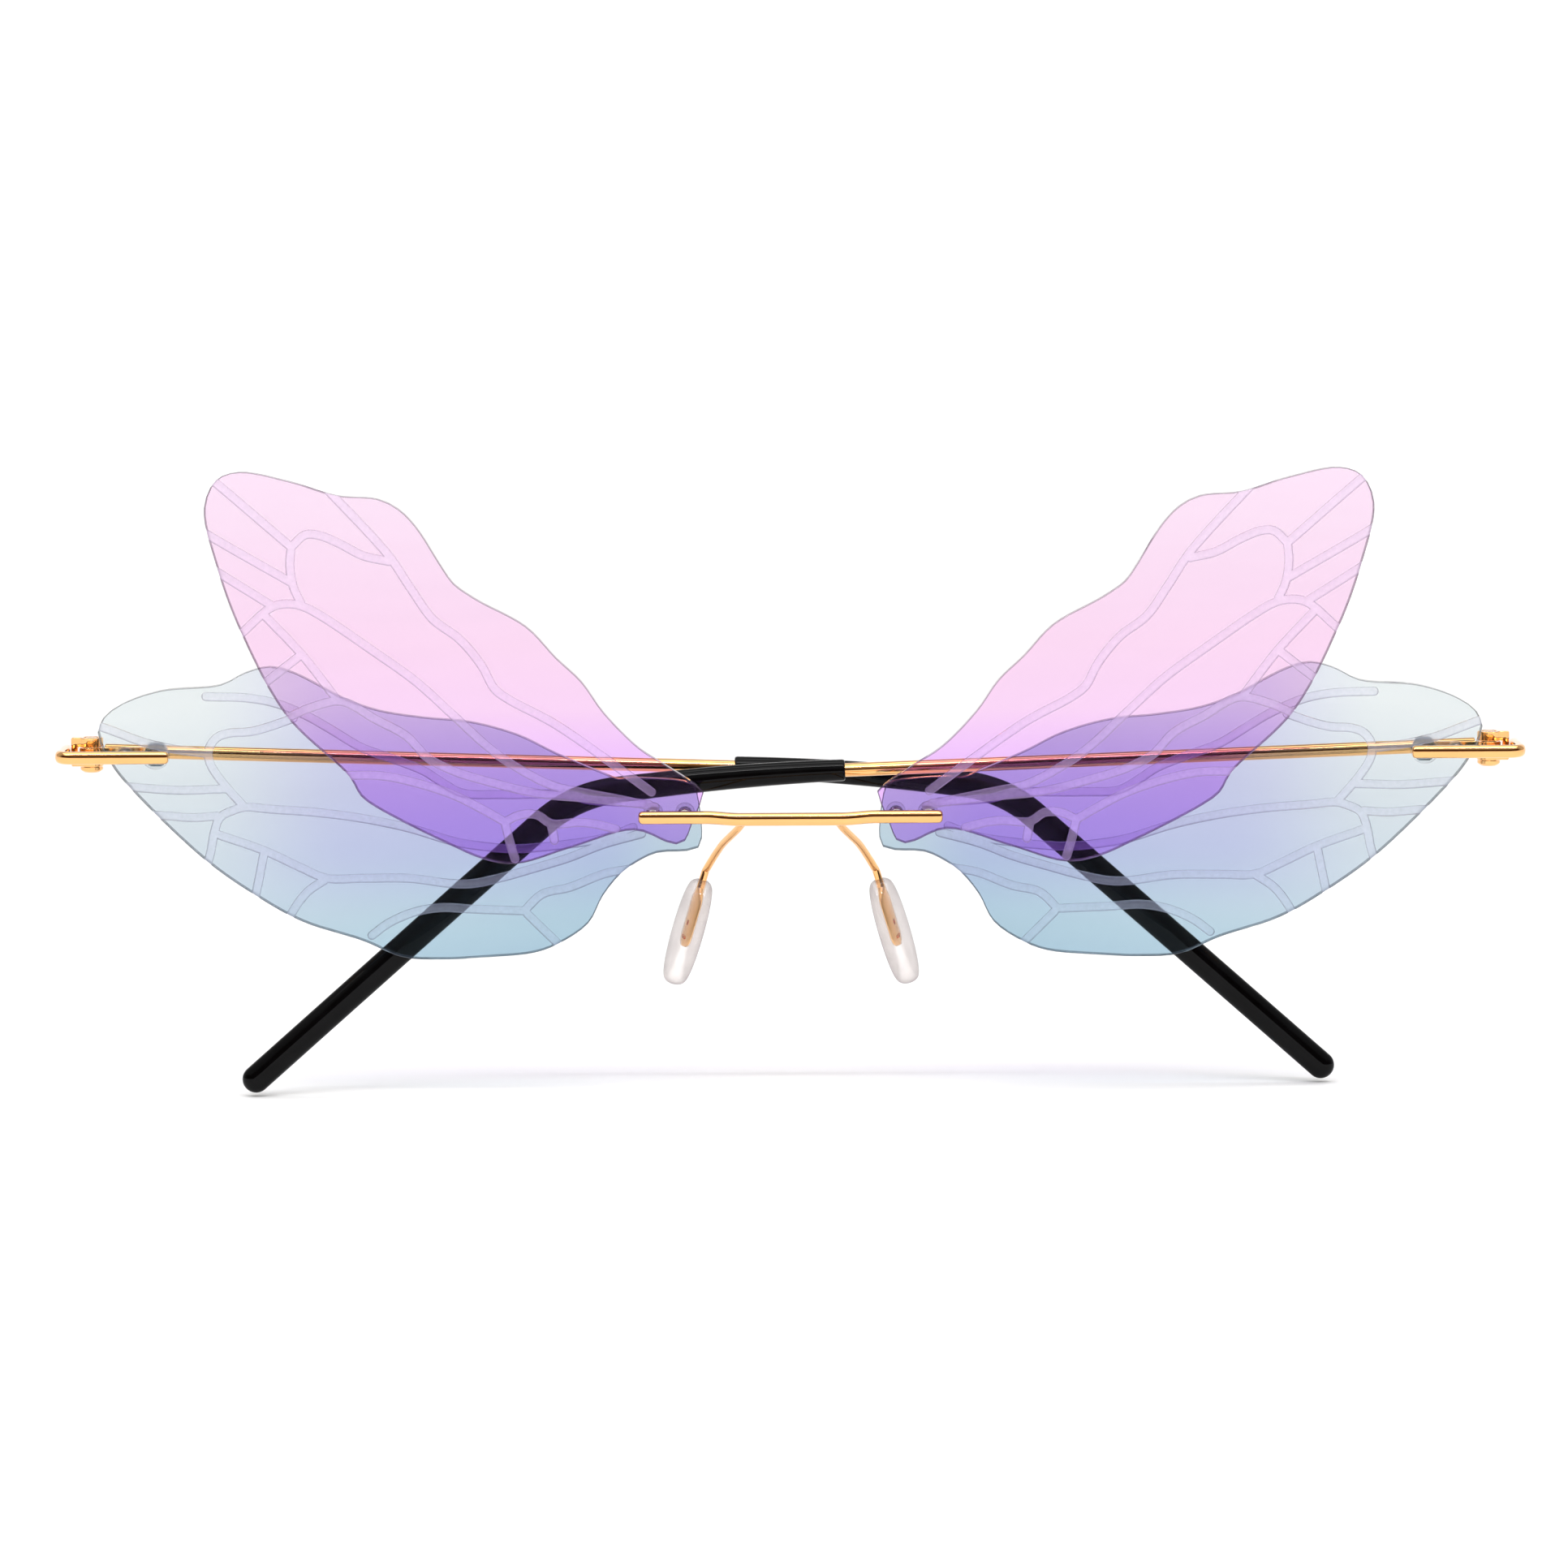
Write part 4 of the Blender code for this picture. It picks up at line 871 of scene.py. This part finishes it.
def make_pad(name, side):
    """The clear pad, softly domed, with the pocket for the arm's flattened end."""
    axes = pad_axes(side)
    bm = bmesh.new()
    rows = []
    for level in range(PAD_LEVELS + 1):
        turn = pi * (level / PAD_LEVELS - 0.5)
        share = PAD_EDGE_SHARE + (1 - PAD_EDGE_SHARE) * cos(turn) ** PAD_DOME_POWER
        half_width = PAD_WIDTH / 2 * share
        half_length = PAD_LENGTH / 2 * (share + (1 - share) * PAD_EDGE_SHARE)
        thick = PAD_THICKNESS / 2 * sin(turn)
        row = []
        for a, b in oval(1.0, 1.0, FINE_SIDES, PAD_POWER):
            corner = Vector((half_width * b, thick, half_length * a))
            row.append(bm.verts.new(axes @ corner))
        rows.append(row)
    skin(bm, rows)
    pad = add_object("pad_" + name, bm, [MATS["silicone"]])
    mouth = ARM_RADIUS + POCKET_FIT
    pocket = [(-PAD_LENGTH, mouth, mouth)] + blade_shape(POCKET_FIT)
    path = [axes @ Vector((0, 0, along)) for along, _, _ in pocket]
    rings = [oval(half, wide, SHAFT_SIDES) for _, half, wide in pocket]
    bm = swept(path, rings, axes.to_3x3().col[1])
    join_in(pad, bm, "pad_pocket_" + name, "DIFFERENCE", MATS["pocket"])
    place_piece(pad, "front", "nose_pad_" + name)


def make_arm(name, side):
    """The pad arm's wire, bent back and down, and pressed flat with a hole and a slot."""
    axes = pad_axes(side)
    entry = axes @ Vector((0, 0, -PAD_LENGTH / 2 - ARM_ENTRY))
    root = Vector((side * ARM_ROOT_OUT, BAR_DEPTH / 2 + BRAZE_GAP, ARM_ROOT_UP))
    gap = entry - root
    bends = [root + Vector((gap.x * out, gap.y * back, gap.z * up)) for out, back, up in ARM_BENDS]
    path = spline([root, *bends, entry], ARM_STEP)
    rings = [oval(ARM_RADIUS, ARM_RADIUS, SHAFT_SIDES)] * len(path)
    for along, half, wide in blade_shape(0.0):
        path.append(axes @ Vector((0, 0, along)))
        rings.append(oval(half, wide, SHAFT_SIDES))
    bm = swept(path, rings, axes.to_3x3().col[1])
    # The blade's faces take the lighter gold copy, painted light that brightens it inside the pad
    into_pad = axes.inverted()
    for face in bm.faces:
        if (into_pad @ face.calc_center_median()).z > BLADE_TOP:
            face.material_index = 1
    arm = add_object("arm_" + name, bm, [MATS["gold"], MATS["painted_light_satin"]])
    thick = BLADE_THICKNESS
    profile = [(BLADE_HOLE_RADIUS, -thick), (BLADE_HOLE_RADIUS, thick)]
    bm = shaft(profile, axes @ Matrix.Translation((0, 0, BLADE_BOTTOM - BLADE_HOLE_UP)))
    join_in(arm, bm, "arm_hole_" + name, "DIFFERENCE")
    slot = [axes @ Vector((0, y, BLADE_BOTTOM - BLADE_SLOT_UP)) for y in (-thick, thick)]
    ring = oval(BLADE_SLOT_HALF_HEIGHT, BLADE_SLOT_HALF_LENGTH, SHAFT_SIDES, NEARLY_SQUARE)
    bm = swept(slot, [ring] * 2, axes.to_3x3().col[2])
    join_in(arm, bm, "arm_slot_" + name, "DIFFERENCE")
    place_piece(arm, "front", "pad_arm_" + name)


def refine(cad_name, mat, body, bevel):
    """A CAD node's own shape with its sharp edges eased."""
    bm = cad_shape(cad_name)
    sharp = [
        edge for edge in bm.edges
        if len(edge.link_faces) == 2 and edge.calc_face_angle(0) > SHARP_ANGLE
    ]
    ease_edges(bm, sharp, bevel)
    place_piece(add_object(cad_name + "_fine", bm, [mat]), body, cad_name)


make_bar()
for name, side in SIDES:
    make_endpiece(name, side)
    make_wire(name, side)
    make_sleeve(name, side)
    make_pad(name, side)
    make_arm(name, side)
    refine("hinge_front_" + name, MATS["gold"], "front", 0.07 * mm)
    refine("hinge_screw_" + name, MATS["gold"], "front", 0.06 * mm)
    refine("hinge_temple_" + name, MATS["gold"], "temple_" + name, 0.06 * mm)
    refine("lens_nut_" + name, MATS["nut"], "front", 0.12 * mm)
    refine("lens_washer_" + name, MATS["clear"], "front", 0.06 * mm)
    refine("pin_bush_" + name, MATS["clear"], "front", 0.05 * mm)
    for place in ("inner", "outer"):
        bush = f"bridge_bush_{place}_{name}"
        refine(bush, MATS["clear"], "front", 0.06 * mm)


# ---------------------------------------------------------------- stage, light and camera

SWEEP_FRONT, SWEEP_BACK, SWEEP_HALF_WIDTH = -2.2, 2.2, 3.0
SWEEP_CURVE, SWEEP_HEIGHT = 0.4, 2.0
SWEEP_COLOUR, SWEEP_DULLER = (0.93, 0.93, 0.93), 0.985
SWEEP_ROUGHNESS, SWEEP_SCALE = 0.9, 30.0
FLOOR_GAP = 0.4 * mm

# The sweep glows from GLOW_START metres out, and sooner in front by GLOW_AHEAD
GLOW_START, GLOW_FULL, GLOW_STRENGTH = 0.3, 1.3, 0.58
GLOW_AHEAD = 1.5

# The studio's light in front of the object, from straight down (0) to straight up (1), its
# light behind, and where the one fades into the other, by how far back a direction points
STUDIO_FRONT = [
    (0.0, (0.5, 0.5, 0.5)), (0.40, (0.4, 0.4, 0.4)), (0.45, (0.07, 0.03, 0.01)),
    (0.66, (0.07, 0.03, 0.01)), (0.72, (0.4, 0.39, 0.38)), (1.0, (0.5, 0.5, 0.5)),
]
STUDIO_BEHIND = (0.55, 0.55, 0.55, 1.0)
STUDIO_SIDE_FADE = (-0.35, 0.1)
WHITE = (1.0, 1.0, 1.0, 1.0)

# Each lamp's name, place, the point it faces, its size and its power in watts
LIGHTS = [
    ("key", (0, -0.22, 0.5), (0, 0, 0), (1.3, 0.24), 2.5),
    ("strip", (0, -0.3, 0.42), (0, 0, 0), (1.0, 0.012), 1.3),
    ("backdrop", (0, 0.15, 0.9), (0, 0.55, 0.1), (1.6, 0.3), 3.85),
]

CAMERA_TARGET = (-0.64 * mm, 0.0, 4.2 * mm)
CAMERA_DISTANCE = 0.62
CAMERA_ELEVATION = radians(7)
CAMERA_ROLL = radians(-0.27)
CAMERA_LENS, CAMERA_SENSOR, CAMERA_CLIP = 142.7, 36.0, 0.01


def sweep_finish(name, colour):
    """A pale matt finish with faint unevenness that glows softly away from the object."""
    mat, nodes, links = nodes_of(name)
    shader = node(nodes, "ShaderNodeBsdfPrincipled", Roughness=SWEEP_ROUGHNESS)
    duller = tuple(c * SWEEP_DULLER for c in colour)
    speckle = noise(nodes, links, SWEEP_SCALE)
    tone = ramp(nodes, links, speckle, [(0.3, duller), (0.7, colour)])
    links.new(tone, shader.inputs["Base Color"])
    links.new(tone, shader.inputs["Emission Color"])
    axes = place_axes(nodes, links)
    ahead = arithmetic(nodes, links, "MULTIPLY", axes["Y"], -GLOW_AHEAD)
    depth = arithmetic(nodes, links, "MAXIMUM", axes["Y"], ahead)
    flat = nodes.new("ShaderNodeCombineXYZ")
    links.new(axes["X"], flat.inputs["X"])
    links.new(depth, flat.inputs["Y"])
    away = node(nodes, "ShaderNodeVectorMath", operation="LENGTH")
    links.new(flat.outputs[0], away.inputs[0])
    share = rise(nodes, links, away.outputs["Value"], GLOW_START, GLOW_FULL)
    glow = spread(nodes, links, share, 0.0, GLOW_STRENGTH)
    links.new(glow, shader.inputs["Emission Strength"])
    show(nodes, links, shader.outputs[0])
    return mat


def make_sweep():
    """A white floor that curves up into a backdrop, far enough back for the open temples."""
    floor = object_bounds()[0].z - FLOOR_GAP
    bend = SWEEP_BACK - SWEEP_CURVE
    points = [(SWEEP_FRONT, floor), (bend, floor)]
    points += [
        (bend + SWEEP_CURVE * sin(t), floor + SWEEP_CURVE * (1 - cos(t)))
        for t in (radians(a) for a in range(10, 91, 10))
    ]
    points.append((SWEEP_BACK, floor + SWEEP_HEIGHT))
    bm = bmesh.new()
    left = [bm.verts.new((-SWEEP_HALF_WIDTH, y, z)) for y, z in points]
    right = [bm.verts.new((SWEEP_HALF_WIDTH, y, z)) for y, z in points]
    for i in range(len(points) - 1):
        bm.faces.new((left[i], right[i], right[i + 1], left[i + 1]))
    add_object("sweep", bm, [sweep_finish("sweep", SWEEP_COLOUR)])


def area_light(name, place, target, size, power):
    light = bpy.data.lights.new(name, "AREA")
    light.shape = "RECTANGLE"
    light.size, light.size_y = size
    light.energy = power
    obj = bpy.data.objects.new(name, light)
    obj.location = place
    obj.rotation_euler = (Vector(target) - Vector(place)).to_track_quat("-Z", "Y").to_euler()
    bpy.context.scene.collection.objects.link(obj)


def make_world():
    """A pale studio with a dark brown band in front, which lines the gold, and white beyond."""
    world = bpy.data.worlds.new("studio")
    bpy.context.scene.world = world
    world.use_nodes = True
    nodes, links = world.node_tree.nodes, world.node_tree.links
    place = nodes.new("ShaderNodeTexCoord")
    split = nodes.new("ShaderNodeSeparateXYZ")
    links.new(place.outputs["Generated"], split.inputs[0])
    height = rise(nodes, links, split.outputs["Z"], -1.0, 1.0)
    front = ramp(nodes, links, height, STUDIO_FRONT)
    behind = rise(nodes, links, split.outputs["Y"], *STUDIO_SIDE_FADE)
    around = mix_colours(nodes, links, behind, front, STUDIO_BEHIND)
    seen = nodes.new("ShaderNodeLightPath").outputs["Is Camera Ray"]
    colour = mix_colours(nodes, links, seen, around, WHITE)
    links.new(colour, nodes["Background"].inputs["Color"])


def make_camera():
    """The camera at the photograph's viewing angle."""
    camera = bpy.data.cameras.new("camera")
    camera.lens = CAMERA_LENS
    camera.sensor_width = CAMERA_SENSOR
    camera.clip_start = CAMERA_CLIP
    obj = bpy.data.objects.new("camera", camera)
    back = Vector((0, -cos(CAMERA_ELEVATION), sin(CAMERA_ELEVATION)))
    obj.location = Vector(CAMERA_TARGET) + back * CAMERA_DISTANCE
    look = (-back).to_track_quat("-Z", "Y").to_matrix().to_4x4()
    obj.rotation_euler = (look @ Matrix.Rotation(CAMERA_ROLL, 4, "Z")).to_euler()
    bpy.context.scene.collection.objects.link(obj)
    bpy.context.scene.camera = obj


make_sweep()
make_world()
for light in LIGHTS:
    area_light(*light)
make_camera()
bpy.context.scene.view_settings.view_transform = "Standard"
